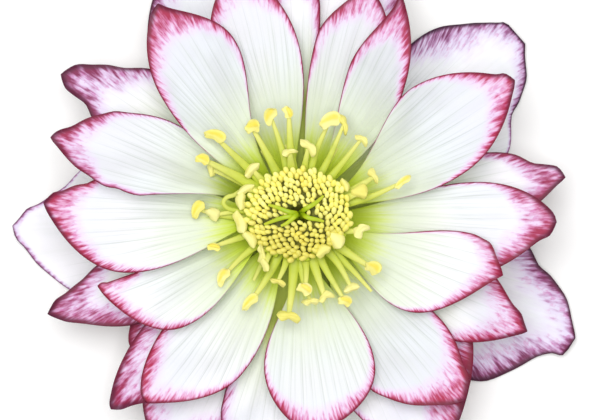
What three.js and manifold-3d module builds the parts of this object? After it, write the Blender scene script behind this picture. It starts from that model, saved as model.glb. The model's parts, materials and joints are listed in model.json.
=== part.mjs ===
// A double hellebore bloom, picked with a short stub of its stalk and lying face up.
// Five broad sepals bend down to the surface and carry the bloom. Above them stand a lower and an upper
// whorl of petal-like sepals, and in the middle the ring of stamens round the carpels.
// Millimetres, +Z up. The bloom's axis is vertical, and each blade is a height over its plan outline.

import * as THREE from 'three';
import { mergeVertices } from 'three/addons/utils/BufferGeometryUtils.js';
import Module from 'manifold-3d';

const wasm = await Module();
wasm.setup();

// ---------------------------------------------------------------- driving dimensions

const BLADE = 0.62; // thickness of a blade, square to its face
const AIR = 0.36; // clear space between a blade and the one that lies over it
const SEAT = 0.3; // clear space between a piece and what carries it

const STALK_RADIUS = 1.5;
const STALK_FOOT = 0.5; // height of the stub's cut end above the surface
const RECEPTACLE_RADIUS = 3.9;
const RECEPTACLE_FOOT = 4.1; // height where the stalk has widened to the receptacle
const ROOT_RADIUS = RECEPTACLE_RADIUS + SEAT;

const TIP_HALF_WIDTH = 0.35;
const ROWS = 10; // steps along a blade
const COLUMNS = 6; // steps across it
const ROW_CROWDING = 1.3; // above 1, rows crowd towards the tip

// A blade's row: direction of its tip in degrees, reach of the tip from the axis, then its left and its
// right side, each as [half width, distance from the axis where it is widest, power of the rounding to
// the tip, power of the waist at the root], and last how far the root stands off to the left.
// Each list runs from the lowest blade to the highest.
const SEPALS = [
  [254, 38.0, [10.5, 24.0, 0.9, 1.2], [10.5, 24.0, 0.9, 1.2], 0],
  [117, 37.5, [8.6, 24.0, 0.77, 1.2], [10.0, 24.0, 0.9, 1.2], 0],
  [37.2, 38.0, [9.2, 27.0, 0.6, 1.2], [10.6, 24.0, 1.2, 1.2], 0],
  [182, 38.1, [11.0, 24.0, 0.85, 1.2], [9.5, 22.0, 1.4, 1.2], 0],
  [-23.8, 40.4, [10.0, 24.0, 0.95, 1.2], [11.5, 26.0, 1.1, 1.2], 0],
];
const OUTER_PETALS = [
  [74.5, 38.0, [7.5, 23.0, 0.9, 1.6], [8.0, 23.0, 0.9, 1.6], 0],
  [-142.5, 28.3, [6.0, 19.0, 1.0, 1.6], [5.0, 19.0, 0.8, 1.6], 0],
  [-119.6, 36.0, [6.0, 23.0, 0.9, 1.6], [8.0, 24.0, 0.6, 1.6], 0],
  [-100.9, 32.5, [6.5, 22.0, 0.9, 1.6], [5.2, 27.0, 0.7, 1.6], 0],
  [-60, 38.0, [13.0, 21.0, 1.0, 1.6], [7.0, 22.0, 0.9, 1.6], 0],
  [-26.7, 34.2, [5.6, 23.0, 1.35, 1.6], [6.2, 22.0, 0.97, 1.6], 0],
  [8.3, 36.0, [4.8, 25.0, 0.9, 1.6], [6.0, 23.0, 1.1, 1.6], 0],
  [149.1, 36.8, [4.2, 24.0, 1.1, 1.6], [7.2, 23.5, 0.9, 1.6], 0],
  [-158.6, 35.8, [5.8, 23.0, 1.1, 1.6], [4.4, 22.0, 1.1, 1.6], 0],
  [-134.1, 35.8, [6.0, 22.0, 1.1, 1.6], [4.7, 22.0, 0.75, 1.6], 0],
  [90.7, 34.1, [4.5, 23.0, 0.9, 1.6], [3.3, 27.5, 0.7, 1.6], 0],
];
const INNER_PETALS = [
  [-129.1, 32.1, [7.5, 20.9, 1.0, 0.9], [4.6, 21.0, 0.55, 1.6], 0],
  [-47.6, 33.2, [4.8, 23.0, 1.0, 1.6], [8.5, 21.5, 0.75, 1.6], 0],
  [-1.3, 34.5, [5.1, 24.5, 0.65, 1.6], [8.0, 20.0, 0.95, 1.4], 0],
  [74.3, 32.1, [4.1, 23.5, 1.6, 1.3], [6.0, 22.0, 0.62, 1.6], 0],
  [-160.7, 28.3, [8.9, 19.5, 0.8, 1.2], [5.0, 19.0, 0.9, 1.6], 0],
  [-86.1, 29.1, [8.9, 20.7, 0.72, 1.5], [5.9, 20.2, 0.75, 2.4], 0],
  [-16.1, 28.4, [4.2, 23.0, 1.0, 3.0], [8.0, 17.5, 1.2, 1.4], -0.6],
  [65.2, 32.5, [2.2, 21.5, 2.4, 3.2], [5.8, 19.5, 0.85, 1.2], -1.2],
  [177.1, 34.0, [8.7, 22.8, 0.88, 1.3], [4.8, 21.0, 0.95, 1.8], 0],
  [32.1, 34.1, [6.4, 21.9, 0.9, 2.8], [6.9, 21.7, 0.95, 1.1], -0.8],
  [103.8, 33.5, [6.0, 23.0, 0.6, 1.5], [5.6, 22.0, 0.7, 1.3], 0],
  [162.3, 34.6, [4.1, 24.5, 1.0, 3.0], [6.8, 21.5, 0.8, 1.7], -0.7],
  [123.4, 33.9, [6.5, 22.4, 0.7, 0.9], [5.9, 24.5, 1.35, 3.2], 0.8],
];

// A whorl: its blades, the half width of a root, the heights of the four control points of the curve
// that a blade's middle follows from root to tip, how far up the margins of a blade 20 mm wide are
// cupped, and the colour.
const SEPAL_WHORL = {
  name: 'sepal', rows: SEPALS, rootHalf: 1.7, curve: [4.6, 7.2, -3.2, 1.2], cup: 0.5,
  colour: 0xe6dbe6,
};
const OUTER_WHORL = {
  name: 'outer_petal', rows: OUTER_PETALS, rootHalf: 0.7, curve: [6.2, 7.6, 9.0, 8.0], cup: 0.8,
  colour: 0xece8ee,
};
const INNER_WHORL = {
  name: 'inner_petal', rows: INNER_PETALS, rootHalf: 0.6, curve: [8.2, 10.2, 12.6, 12.0], cup: 1.0,
  colour: 0xf3f2f4,
};
const WHORLS = [SEPAL_WHORL, OUTER_WHORL, INNER_WHORL];
const TIP_SPREAD = 0.9; // how far a petal's tip may stand above or below its whorl's curve
const TWIST = 0.05; // largest slope across a blade, from twist
const RUFFLE = 0.28; // height of the waves along a margin
const DRAPE_LENGTH = 5; // how far a blade takes to come down beside one that it lies on

// Stamens. The core is an oval ring with a domed top, and unopened anthers cover it.
const CORE_HALF_LENGTH = 6.5;
const CORE_HALF_WIDTH = 5.4;
const CORE_STEM_RADIUS = 3.5;
const CORE_HEIGHT = 3.6; // from its lip, over the petals, to the top of the dome
const DOME_DROP = 2.0;
const WELL_RADIUS = 1.75;
const BUD_COUNT = 84;
const BUD_HALF_THICKNESS = 0.56;
const BUD_HALF_LENGTH = 0.62;
const GOLDEN_ANGLE = Math.PI * (3 - Math.sqrt(5));
const SLIVER = 0.01; // shorter edges than this are left out where solids are joined

// Opened stamens: direction in degrees, reach of the anther from the axis, and how far the anther is
// turned from square across its filament, in degrees.
const OPENED = [
  [136, 15.0, 10], [149, 14.4, 40], [155, 12.9, -40], [118, 13.1, 0], [106, 13.9, 40], [95, 14.0, 60],
  [98, 8.6, 5], [133, 8.7, -20], [169, 9.3, 80], [176, 13.4, 50], [182, 11.4, 20], [199, 11.8, 70],
  [219, 12.9, -60], [241, 13.3, -70], [252, 9.0, -10], [264, 13.3, 0], [274, 9.6, 30], [281, 11.5, 10],
  [290, 11.1, 20], [299, 12.8, -50], [308, 12.0, 30], [324, 12.0, 50], [346, 8.8, 10], [333, 7.0, 60],
  [313, 6.8, -20], [81, 9.3, -40], [72, 13.3, 10], [63, 13.5, -70], [50, 13.3, -20], [29, 11.2, 30],
  [17, 14.5, 85], [22, 8.9, -10], [38, 7.6, 60], [190, 8.3, 70], [208, 7.4, 40], [229, 7.4, 80],
  [161, 7.9, -60],
];
const FILAMENT_ROOT = 4.4; // distance of its root from the axis, inside the core
const FILAMENT_RADIUS = 0.45;
const FILAMENT_STEPS = 2;
const ANTHER_HALF_LENGTH = 1.1;
const ANTHER_HALF_WIDTH = 0.75;
const ANTHER_HALF_HEIGHT = 0.5;

// Carpels, each a follicle with a curved style: direction in degrees and reach of the style's end.
const STYLES = [[157, 4.5], [40, 4.2], [195, 4.6], [-15, 3.4]];
const FOLLICLE_RADIUS = 0.62;
const FOLLICLE_OFFSET = 0.55;
const STYLE_RADIUS = 0.34;
const STYLE_STEPS = 7;

// ---------------------------------------------------------------- small helpers

const radians = THREE.MathUtils.degToRad;
const mix = THREE.MathUtils.lerp;

// The same draw from 0 to 1 for the same number.
function chance(number) {
  const x = Math.sin(number * 12.9898) * 43758.5453;
  return x - Math.floor(x);
}

// Cubic Bezier value at t for four control values.
function bezier([a, b, c, d], t) {
  const s = 1 - t;
  return s * s * s * a + 3 * s * s * t * b + 3 * s * t * t * c + t * t * t * d;
}

// A closed body from points and the triangles between them.
function body(points, triangles) {
  const geometry = new THREE.BufferGeometry();
  geometry.setAttribute('position', new THREE.Float32BufferAttribute(points.flat(), 3));
  geometry.setIndex(triangles.flat());
  return geometry;
}

// A body lofted through rings of equally many points, closed by a fan at each end. Rings run counter-
// clockwise as seen from the far end.
function loft(rings) {
  const sides = rings[0].length;
  const points = rings.flat();
  const triangles = [];
  for (let ring = 0; ring + 1 < rings.length; ring++) {
    for (let side = 0; side < sides; side++) {
      const a = ring * sides + side;
      const b = ring * sides + ((side + 1) % sides);
      triangles.push([a, b, b + sides], [a, b + sides, a + sides]);
    }
  }
  const last = (rings.length - 1) * sides;
  for (let side = 1; side + 1 < sides; side++) {
    triangles.push([0, side + 1, side], [last, last + side, last + side + 1]);
  }
  return body(points, triangles);
}

// A tapered tube whose path lies in the upright plane at the given direction. path gives
// [distance from the axis, height, radius] at each step.
function planarTube(direction, path, sides) {
  const out = new THREE.Vector3(Math.cos(direction), Math.sin(direction), 0);
  const across = new THREE.Vector3(-Math.sin(direction), Math.cos(direction), 0);
  const centres = path.map(([r, z]) => out.clone().multiplyScalar(r).setZ(z));
  const rings = centres.map((centre, step) => {
    const before = centres[Math.max(step - 1, 0)];
    const after = centres[Math.min(step + 1, centres.length - 1)];
    const along = after.clone().sub(before).normalize();
    const up = along.clone().cross(across);
    return Array.from({ length: sides }, (_, side) => {
      const turn = (2 * Math.PI * side) / sides;
      const point = centre.clone();
      point.addScaledVector(up, path[step][2] * Math.cos(turn));
      point.addScaledVector(across, -path[step][2] * Math.sin(turn));
      return point.toArray();
    });
  });
  return loft(rings);
}

// A solid for joining, from a closed geometry.
function solid(geometry) {
  const bare = geometry.clone();
  bare.deleteAttribute('normal');
  bare.deleteAttribute('uv');
  const merged = mergeVertices(bare, 1e-4);
  const mesh = new wasm.Mesh({
    numProp: 3,
    vertProperties: new Float32Array(merged.attributes.position.array),
    triVerts: new Uint32Array(merged.index.array),
  });
  return new wasm.Manifold(mesh);
}

// One geometry from several closed ones that run into each other, without slivers along the joins.
function fuse(geometries) {
  const joined = wasm.Manifold.union(geometries.map(solid)).simplify(SLIVER).getMesh();
  const geometry = new THREE.BufferGeometry();
  geometry.setAttribute('position', new THREE.BufferAttribute(joined.vertProperties, 3));
  geometry.setIndex(new THREE.BufferAttribute(joined.triVerts, 1));
  return geometry;
}

function named(name, geometry, colour, roughness) {
  const material = new THREE.MeshStandardMaterial({ color: colour, roughness, metalness: 0 });
  const mesh = new THREE.Mesh(geometry, material);
  mesh.name = name;
  return mesh;
}

// ---------------------------------------------------------------- a blade's outline and free form

const rowPlace = (row) => 1 - (1 - row / ROWS) ** ROW_CROWDING;
const rowOf = (place) => ROWS * (1 - (1 - place) ** (1 / ROW_CROWDING));
const spot = (row, column) => row * (COLUMNS + 1) + column;

function sideWidth([width, widest, roundness, waist], rootHalf, reach, s) {
  if (s < widest) {
    const growth = Math.sin((Math.PI / 2) * ((s - ROOT_RADIUS) / (widest - ROOT_RADIUS)));
    return rootHalf + (width - rootHalf) * Math.max(growth, 0) ** waist;
  }
  const x = (s - widest) / (reach - widest);
  return Math.max(width * Math.max(1 - x * x, 0) ** roundness, TIP_HALF_WIDTH);
}

// Middle and half width of the blade at a place from 0 at the root to 1 at the tip.
function section(blade, place) {
  const s = mix(ROOT_RADIUS, blade.reach, place);
  const left = sideWidth(blade.left, blade.rootHalf, blade.reach, s);
  const right = sideWidth(blade.right, blade.rootHalf, blade.reach, s);
  const grown = Math.min((s - ROOT_RADIUS) / (blade.left[1] - ROOT_RADIUS), 1);
  return { s, middle: (left - right) / 2 + blade.lean * (1 - grown), half: (left + right) / 2 };
}

function planPoint(blade, place, across) {
  const { s, middle, half } = section(blade, place);
  const w = middle + across * half;
  return [s * blade.cos - w * blade.sin, s * blade.sin + w * blade.cos];
}

// The height that the blade's middle surface would take with nothing under it.
function freeHeight(blade, place, across) {
  const { half } = section(blade, place);
  const w = across * half;
  const cup = (blade.cup * w * w) / (10 * Math.max(half, 4));
  const ruffle = blade.ruffle * Math.abs(across) ** 3 * place;
  const wave = Math.sin(2 * Math.PI * blade.waves * place + blade.phase + (across > 0 ? 2 : 0));
  return bezier(blade.curve, place) + cup + blade.twist * w * place + ruffle * wave;
}

function makeBlade(whorl, [direction, reach, left, right, lean], number) {
  const draw = (n) => 2 * chance(number * 7 + n) - 1;
  const [root, ...free] = whorl.curve;
  const spread = whorl.name === 'sepal' ? 0 : TIP_SPREAD;
  return {
    ...whorl,
    reach, left, right, lean,
    cos: Math.cos(radians(direction)),
    sin: Math.sin(radians(direction)),
    curve: [root, ...free.map((z, n) => z + (spread * draw(1) * (n + 1)) / free.length)],
    twist: TWIST * draw(2),
    ruffle: RUFFLE * (1 + 0.4 * draw(3)),
    waves: 2 + 0.5 * draw(4),
    phase: Math.PI * draw(5),
  };
}

// ---------------------------------------------------------------- laying the blades over each other

// Value of a grid of numbers at a fractional row and column.
function between(grid, row, column) {
  const r = Math.min(Math.floor(row), ROWS - 1);
  const c = Math.min(Math.floor(column), COLUMNS - 1);
  const near = mix(grid[spot(r, c)], grid[spot(r, c + 1)], column - c);
  const far = mix(grid[spot(r + 1, c)], grid[spot(r + 1, c + 1)], column - c);
  return mix(near, far, row - r);
}

// Height of the top of a blade over a plan point, widened by a margin, or undefined beside it.
function topOver(blade, x, y, margin) {
  const s = x * blade.cos + y * blade.sin;
  const w = y * blade.cos - x * blade.sin;
  const length = blade.reach - ROOT_RADIUS;
  const place = (s - ROOT_RADIUS) / length;
  if (place < -margin / length || place > 1 + margin / length) return undefined;
  const kept = THREE.MathUtils.clamp(place, 0, 1);
  const { middle, half } = section(blade, kept);
  if (Math.abs(w - middle) > half + margin) return undefined;
  const across = THREE.MathUtils.clamp((w - middle) / half, -1, 1);
  const row = rowOf(kept);
  const column = ((across + 1) * COLUMNS) / 2;
  const thickness = between(blade.thickness, row, column);
  return { z: between(blade.z, row, column) + thickness / 2, slope: thickness / BLADE };
}

// Upright thickness at each grid point, so that the blade keeps its thickness square to its face.
function measureThickness(blade) {
  for (let row = 0; row <= ROWS; row++) {
    for (let column = 0; column <= COLUMNS; column++) {
      const [r0, r1] = [Math.max(row - 1, 0), Math.min(row + 1, ROWS)];
      const [c0, c1] = [Math.max(column - 1, 0), Math.min(column + 1, COLUMNS)];
      const [rootwards, tipwards] = [spot(r0, column), spot(r1, column)];
      const [leftwards, rightwards] = [spot(row, c1), spot(row, c0)];
      const slopeAlong = (blade.z[tipwards] - blade.z[rootwards]) / blade.distance(tipwards, rootwards);
      const slopeAcross = (blade.z[leftwards] - blade.z[rightwards]) / blade.distance(leftwards, rightwards);
      blade.thickness[spot(row, column)] = BLADE * Math.min(Math.hypot(1, slopeAlong, slopeAcross), 1.5);
    }
  }
}

// Spreads a lift that some grid points need into a smooth one that meets every need.
function spreadLift(blade, lift, need) {
  for (let sweep = 0; sweep < 40; sweep++) {
    for (let row = 0; row <= ROWS; row++) {
      for (let column = 0; column <= COLUMNS; column++) {
        const here = spot(row, column);
        let weights = 1 / DRAPE_LENGTH ** 2;
        let sum = 0;
        for (const [r, c] of [[row - 1, column], [row + 1, column], [row, column - 1], [row, column + 1]]) {
          if (r < 0 || r > ROWS || c < 0 || c > COLUMNS) continue;
          const weight = 1 / Math.max(blade.distance(here, spot(r, c)), 0.5) ** 2;
          weights += weight;
          sum += weight * lift[spot(r, c)];
        }
        lift[here] = Math.max(need[here], sum / weights);
      }
    }
  }
}

const SAMPLES = 4; // test points per step of the grid
const OVERLAP_MARGIN = 0.35; // blades nearer than this in plan pass over each other too

// Lays a blade over those below it.
function layBlade(blade, below) {
  const count = (ROWS + 1) * (COLUMNS + 1);
  const plan = [];
  const free = [];
  for (let row = 0; row <= ROWS; row++) {
    for (let column = 0; column <= COLUMNS; column++) {
      const across = (2 * column) / COLUMNS - 1;
      plan.push(planPoint(blade, rowPlace(row), across));
      free.push(freeHeight(blade, rowPlace(row), across));
    }
  }
  blade.distance = (a, b) => Math.hypot(plan[a][0] - plan[b][0], plan[a][1] - plan[b][1]);
  blade.plan = plan;
  blade.thickness = new Array(count).fill(BLADE);

  const tests = [];
  for (let i = 0; i <= ROWS * SAMPLES; i++) {
    for (let j = 0; j <= COLUMNS * SAMPLES; j++) {
      const [row, column] = [i / SAMPLES, j / SAMPLES];
      const [x, y] = planPoint(blade, rowPlace(row), (2 * column) / COLUMNS - 1);
      for (const other of below) {
        const top = topOver(other, x, y, OVERLAP_MARGIN);
        if (top) tests.push({ row, column, floor: top.z + AIR * top.slope });
      }
    }
  }

  const lift = new Array(count).fill(0);
  const need = new Array(count).fill(0);
  for (let round = 0; round < 30; round++) {
    blade.z = free.map((z, n) => z + lift[n]);
    measureThickness(blade);
    blade.z = blade.z.map((z, n) => Math.max(z, blade.thickness[n] / 2));
    let worst = 0;
    for (const { row, column, floor } of tests) {
      const bottom = between(blade.z, row, column) - between(blade.thickness, row, column) / 2;
      const short = floor - bottom;
      if (short <= 0.005) continue;
      worst = Math.max(worst, short);
      const r = Math.min(Math.floor(row), ROWS - 1);
      const c = Math.min(Math.floor(column), COLUMNS - 1);
      const [dr, dc] = [row - r, column - c];
      const shares = [(1 - dr) * (1 - dc), (1 - dr) * dc, dr * (1 - dc), dr * dc];
      const total = shares.reduce((sum, share) => sum + share * share, 0);
      [spot(r, c), spot(r, c + 1), spot(r + 1, c), spot(r + 1, c + 1)].forEach((corner, n) => {
        need[corner] = Math.max(need[corner], lift[corner] + (short * shares[n]) / total);
      });
    }
    if (worst === 0) break;
    spreadLift(blade, lift, need);
  }
}

function bladeGeometry(blade) {
  const count = (ROWS + 1) * (COLUMNS + 1);
  const bottoms = blade.z.map((z, n) => Math.max(z - blade.thickness[n] / 2, 0));
  const low = blade.plan.map(([x, y], n) => [x, y, bottoms[n]]);
  const high = blade.plan.map(([x, y], n) => [x, y, bottoms[n] + blade.thickness[n]]);
  const triangles = [];
  for (let row = 0; row < ROWS; row++) {
    for (let column = 0; column < COLUMNS; column++) {
      const [a, b] = [spot(row, column), spot(row, column + 1)];
      const [c, d] = [spot(row + 1, column), spot(row + 1, column + 1)];
      triangles.push([a, b, c], [b, d, c]);
      triangles.push([a + count, c + count, b + count], [b + count, c + count, d + count]);
    }
  }
  const rim = [];
  for (let column = 0; column < COLUMNS; column++) rim.push(spot(0, column));
  for (let row = 0; row < ROWS; row++) rim.push(spot(row, COLUMNS));
  for (let column = COLUMNS; column > 0; column--) rim.push(spot(ROWS, column));
  for (let row = ROWS; row > 0; row--) rim.push(spot(row, 0));
  rim.forEach((a, n) => {
    const b = rim[(n + 1) % rim.length];
    triangles.push([a, a + count, b], [b, a + count, b + count]);
  });
  return body([...low, ...high], triangles);
}

const blades = [];
const bloom = new THREE.Group();
for (const whorl of WHORLS) {
  whorl.rows.forEach((row, index) => {
    const blade = makeBlade(whorl, row, blades.length + 1);
    layBlade(blade, blades);
    blades.push(blade);
    bloom.add(named(`${whorl.name}_${index + 1}`, bladeGeometry(blade), whorl.colour, 0.55));
  });
}

// Height of the highest blade over a plan point, or the given height where there is none.
function petalsUnder(x, y, otherwise) {
  const tops = blades.map((blade) => topOver(blade, x, y, 0.6)).filter(Boolean);
  return Math.max(otherwise, ...tops.map((top) => top.z));
}

// ---------------------------------------------------------------- stalk and receptacle

const rootTops = blades.map((blade) => Math.max(...blade.z.slice(0, COLUMNS + 1)) + BLADE);
const receptacleTop = Math.max(...rootTops) + 0.1;

function receptacleGeometry() {
  const profile = [
    [0, STALK_FOOT],
    [STALK_RADIUS - 0.2, STALK_FOOT],
    [STALK_RADIUS, STALK_FOOT + 0.2],
    [STALK_RADIUS, 2.0],
    [STALK_RADIUS + 0.5, 3.0],
    [RECEPTACLE_RADIUS - 0.7, RECEPTACLE_FOOT - 0.5],
    [RECEPTACLE_RADIUS, RECEPTACLE_FOOT],
    [RECEPTACLE_RADIUS, receptacleTop - 0.5],
    [RECEPTACLE_RADIUS - 0.5, receptacleTop],
    [0, receptacleTop],
  ];
  return new THREE.LatheGeometry(profile.map(([r, z]) => new THREE.Vector2(r, z)), 20);
}

// ---------------------------------------------------------------- stamens

// Highest petal within an oval that holds the core with its buds.
function petalsUnderOval(halfLength, halfWidth) {
  let top = receptacleTop;
  for (let ring = 0.6; ring <= 1.001; ring += 0.1) {
    for (let step = 0; step < 72; step++) {
      const turn = (2 * Math.PI * step) / 72;
      const [x, y] = [halfLength * ring * Math.cos(turn), halfWidth * ring * Math.sin(turn)];
      top = Math.max(top, petalsUnder(x, y, 0));
    }
  }
  return top;
}

const coreFoot = receptacleTop + SEAT;
const coreLip = petalsUnderOval(CORE_HALF_LENGTH, CORE_HALF_WIDTH) + 0.45;
const coreTop = coreLip + CORE_HEIGHT;
const domeHeight = (ring) => coreTop - DOME_DROP * Math.min(ring, 1) ** 2.4;

// The ring of the core, turned as a round lathe and then stretched to its oval.
function coreGeometry() {
  const outer = CORE_HALF_WIDTH;
  const profile = [
    [WELL_RADIUS, coreFoot],
    [CORE_STEM_RADIUS, coreFoot],
    [CORE_STEM_RADIUS, coreLip],
    [outer - 0.4, coreLip],
    [outer, coreLip + 0.5],
    [outer, domeHeight(1) - 0.3],
    [outer * 0.8, domeHeight(0.8)],
    [outer * 0.55, domeHeight(0.55)],
    [WELL_RADIUS, domeHeight(0.3)],
    [WELL_RADIUS, coreFoot],
  ];
  const lathe = new THREE.LatheGeometry(profile.map(([r, z]) => new THREE.Vector2(r, z)), 20);
  const position = lathe.attributes.position;
  for (let n = 0; n < position.count; n++) {
    const r = Math.hypot(position.getX(n), position.getZ(n));
    const inDome = position.getY(n) > coreLip + 1 && r > WELL_RADIUS + 0.01;
    if (inDome || r > CORE_STEM_RADIUS + 0.01) {
      position.setX(n, (position.getX(n) * CORE_HALF_LENGTH) / CORE_HALF_WIDTH);
    }
  }
  return upright(lathe);
}

// A lathe turns about Y, and the bloom's axis is Z.
function upright(geometry) {
  return geometry.rotateX(Math.PI / 2);
}

// An unopened anther, a five-sided bud that stands on its point.
function bud(centre, turn) {
  const profile = [[0, -1], [1, -0.15], [0.72, 0.62], [0, 1]].map(([r, z]) => {
    return new THREE.Vector2(r * BUD_HALF_THICKNESS, z * BUD_HALF_LENGTH);
  });
  const lathe = upright(new THREE.LatheGeometry(profile, 5));
  return lathe.applyMatrix4(new THREE.Matrix4().makeRotationFromEuler(turn).setPosition(...centre));
}

function buds() {
  const first = 0.36;
  return Array.from({ length: BUD_COUNT }, (_, n) => {
    const ring = Math.sqrt(mix(first * first, 1, (n + 0.5) / BUD_COUNT));
    const turn = n * GOLDEN_ANGLE + 0.25 * (chance(n + 500) - 0.5);
    const stand = 0.15 + 0.25 * chance(n + 800);
    const centre = [
      CORE_HALF_LENGTH * ring * Math.cos(turn),
      CORE_HALF_WIDTH * ring * Math.sin(turn),
      domeHeight(ring) + stand,
    ];
    const lean = ring * 0.9 + 0.5 * (chance(n + 100) - 0.5);
    return bud(centre, new THREE.Euler(0, lean, turn, 'ZYX'));
  });
}

// One opened stamen: a filament that clears the petals below it, and an anther of two lobes.
function openedStamen([directionDegrees, reach, spinDegrees], index) {
  const direction = radians(directionDegrees);
  const [cos, sin] = [Math.cos(direction), Math.sin(direction)];
  const clearance = ANTHER_HALF_HEIGHT + 0.45;
  let antherHeight = coreLip + 0.6;
  for (let r = reach - 1.2; r <= reach + 1.2; r += 0.4) {
    for (const w of [-1.2, 0, 1.2]) {
      antherHeight = Math.max(antherHeight, petalsUnder(r * cos - w * sin, r * sin + w * cos, 0) + clearance);
    }
  }
  antherHeight += 0.8 * chance(index + 40);
  const rootHeight = coreLip + 0.5;
  const place = (f) => mix(FILAMENT_ROOT, reach, f);
  const straight = (f) => mix(rootHeight, antherHeight, f);
  let arch = 0.5 * chance(index + 70);
  for (let f = 0.15; f < 0.95; f += 0.05) {
    const under = petalsUnder(place(f) * cos, place(f) * sin, 0) + FILAMENT_RADIUS + AIR + 0.1;
    arch = Math.max(arch, (under - straight(f)) / (4 * f * (1 - f)));
  }
  const path = Array.from({ length: FILAMENT_STEPS + 1 }, (_, step) => {
    const f = step / FILAMENT_STEPS;
    return [place(f), straight(f) + arch * 4 * f * (1 - f), mix(FILAMENT_RADIUS, 0.38, f)];
  });
  const spin = direction + Math.PI / 2 + radians(spinDegrees);
  return [planarTube(direction, path, 3), anther([reach * cos, reach * sin, antherHeight], spin)];
}

// An opened anther, two lobes side by side along its length, lofted from end to end.
function anther([x, y, z], spin) {
  const lobes = [[1, -0.3], [0.55, 0.9], [0, 0.4], [-0.55, 0.9], [-1, -0.3]];
  const [cos, sin] = [Math.cos(spin), Math.sin(spin)];
  const rings = [[-1, 0.5], [0, 1], [1, 0.5]].map(([along, size]) => lobes.map(([side, up]) => {
    const a = along * ANTHER_HALF_LENGTH;
    const b = side * size * ANTHER_HALF_WIDTH;
    return [x + a * cos - b * sin, y + a * sin + b * cos, z + up * size * ANTHER_HALF_HEIGHT];
  }));
  return loft(rings);
}

// ---------------------------------------------------------------- carpels

const styleHeight = coreTop + BUD_HALF_LENGTH + 0.62 + SEAT + STYLE_RADIUS;

function carpel([directionDegrees, reach]) {
  const direction = radians(directionDegrees);
  const foot = receptacleTop + SEAT;
  const follicle = [
    [FOLLICLE_OFFSET, foot, FOLLICLE_RADIUS],
    [FOLLICLE_OFFSET, coreLip + 0.6, FOLLICLE_RADIUS],
    [FOLLICLE_OFFSET, coreTop - 0.4, STYLE_RADIUS * 1.3],
    [FOLLICLE_OFFSET * 0.8, coreTop + 0.6, STYLE_RADIUS],
  ];
  const style = Array.from({ length: STYLE_STEPS + 1 }, (_, step) => {
    const f = step / STYLE_STEPS;
    const r = mix(FOLLICLE_OFFSET * 0.8, reach, f ** 1.4);
    const rise = 1 - (1 - Math.min(f / 0.45, 1)) ** 2;
    const z = mix(coreTop + 0.6, styleHeight, rise) - 0.7 * Math.max(f - 0.55, 0);
    return [r, z, mix(STYLE_RADIUS, 0.22, f)];
  });
  return planarTube(direction, [...follicle, ...style.slice(1)], 5);
}

// ---------------------------------------------------------------- the bloom

bloom.add(named('receptacle', upright(receptacleGeometry()), 0x9db24a, 0.6));
const stamens = fuse([coreGeometry(), ...buds(), ...OPENED.flatMap(openedStamen)]);
bloom.add(named('stamens', stamens, 0xe6df78, 0.65));
bloom.add(named('carpels', fuse(STYLES.map(carpel)), 0xa7c428, 0.5));

// The origin lies on the surface, under the middle of the bloom's box.
const middle = new THREE.Box3().setFromObject(bloom).getCenter(new THREE.Vector3());
bloom.position.set(-middle.x, -middle.y, 0);
bloom.updateMatrixWorld(true);

export default bloom;
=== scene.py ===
import json
import math

import bpy
import numpy as np
from mathutils import Matrix, Vector
from mathutils.bvhtree import BVHTree

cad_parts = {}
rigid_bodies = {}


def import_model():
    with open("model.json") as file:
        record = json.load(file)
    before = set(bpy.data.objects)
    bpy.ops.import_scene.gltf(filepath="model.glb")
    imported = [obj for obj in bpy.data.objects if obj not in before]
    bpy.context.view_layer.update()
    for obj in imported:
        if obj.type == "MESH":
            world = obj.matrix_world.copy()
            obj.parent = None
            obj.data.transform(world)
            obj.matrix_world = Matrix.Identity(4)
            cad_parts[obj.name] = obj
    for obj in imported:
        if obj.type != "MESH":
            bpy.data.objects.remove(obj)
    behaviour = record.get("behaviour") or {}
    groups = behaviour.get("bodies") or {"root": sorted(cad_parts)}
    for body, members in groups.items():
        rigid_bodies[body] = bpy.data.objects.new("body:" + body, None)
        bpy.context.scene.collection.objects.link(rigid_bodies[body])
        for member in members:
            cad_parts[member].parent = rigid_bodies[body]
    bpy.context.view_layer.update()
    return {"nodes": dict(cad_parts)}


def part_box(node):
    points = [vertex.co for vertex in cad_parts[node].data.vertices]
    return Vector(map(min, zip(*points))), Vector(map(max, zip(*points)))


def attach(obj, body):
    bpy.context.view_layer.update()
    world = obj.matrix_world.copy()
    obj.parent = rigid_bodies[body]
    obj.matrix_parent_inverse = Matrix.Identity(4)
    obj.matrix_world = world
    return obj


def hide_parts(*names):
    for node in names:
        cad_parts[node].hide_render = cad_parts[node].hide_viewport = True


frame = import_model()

# ------------------------------------------------------------------------------------------------ view
# The bloom lies face up on a pale table, under a large soft lamp. The camera hangs straight above it,
# about a metre away. All sizes in this script are millimetres until they reach Blender.

MM = 0.001
AXIS = sum(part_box("receptacle"), Vector()) / 2 / MM  # the bloom's own axis
VIEW_OFFSET = (0.27, 0.8)  # where the camera hangs, right of and above the bloom's axis
VIEW_WIDTH = 80.0  # what the camera takes in at the height of the petals
VIEW_DISTANCE = 1000.0
PETAL_HEIGHT = 12.0
SENSOR = 36.0
VIEW_END = 20.0  # metres, past which the camera sees nothing

camera_data = bpy.data.cameras.new("camera")
camera_data.sensor_width = SENSOR
camera_data.lens = SENSOR * VIEW_DISTANCE / VIEW_WIDTH
camera_data.clip_end = VIEW_END
camera = bpy.data.objects.new("camera", camera_data)
camera.location = Vector((
    AXIS.x + VIEW_OFFSET[0], AXIS.y + VIEW_OFFSET[1], PETAL_HEIGHT + VIEW_DISTANCE,
)) * MM
bpy.context.scene.collection.objects.link(camera)
bpy.context.scene.camera = camera
bpy.context.scene.view_settings.view_transform = "Standard"

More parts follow.
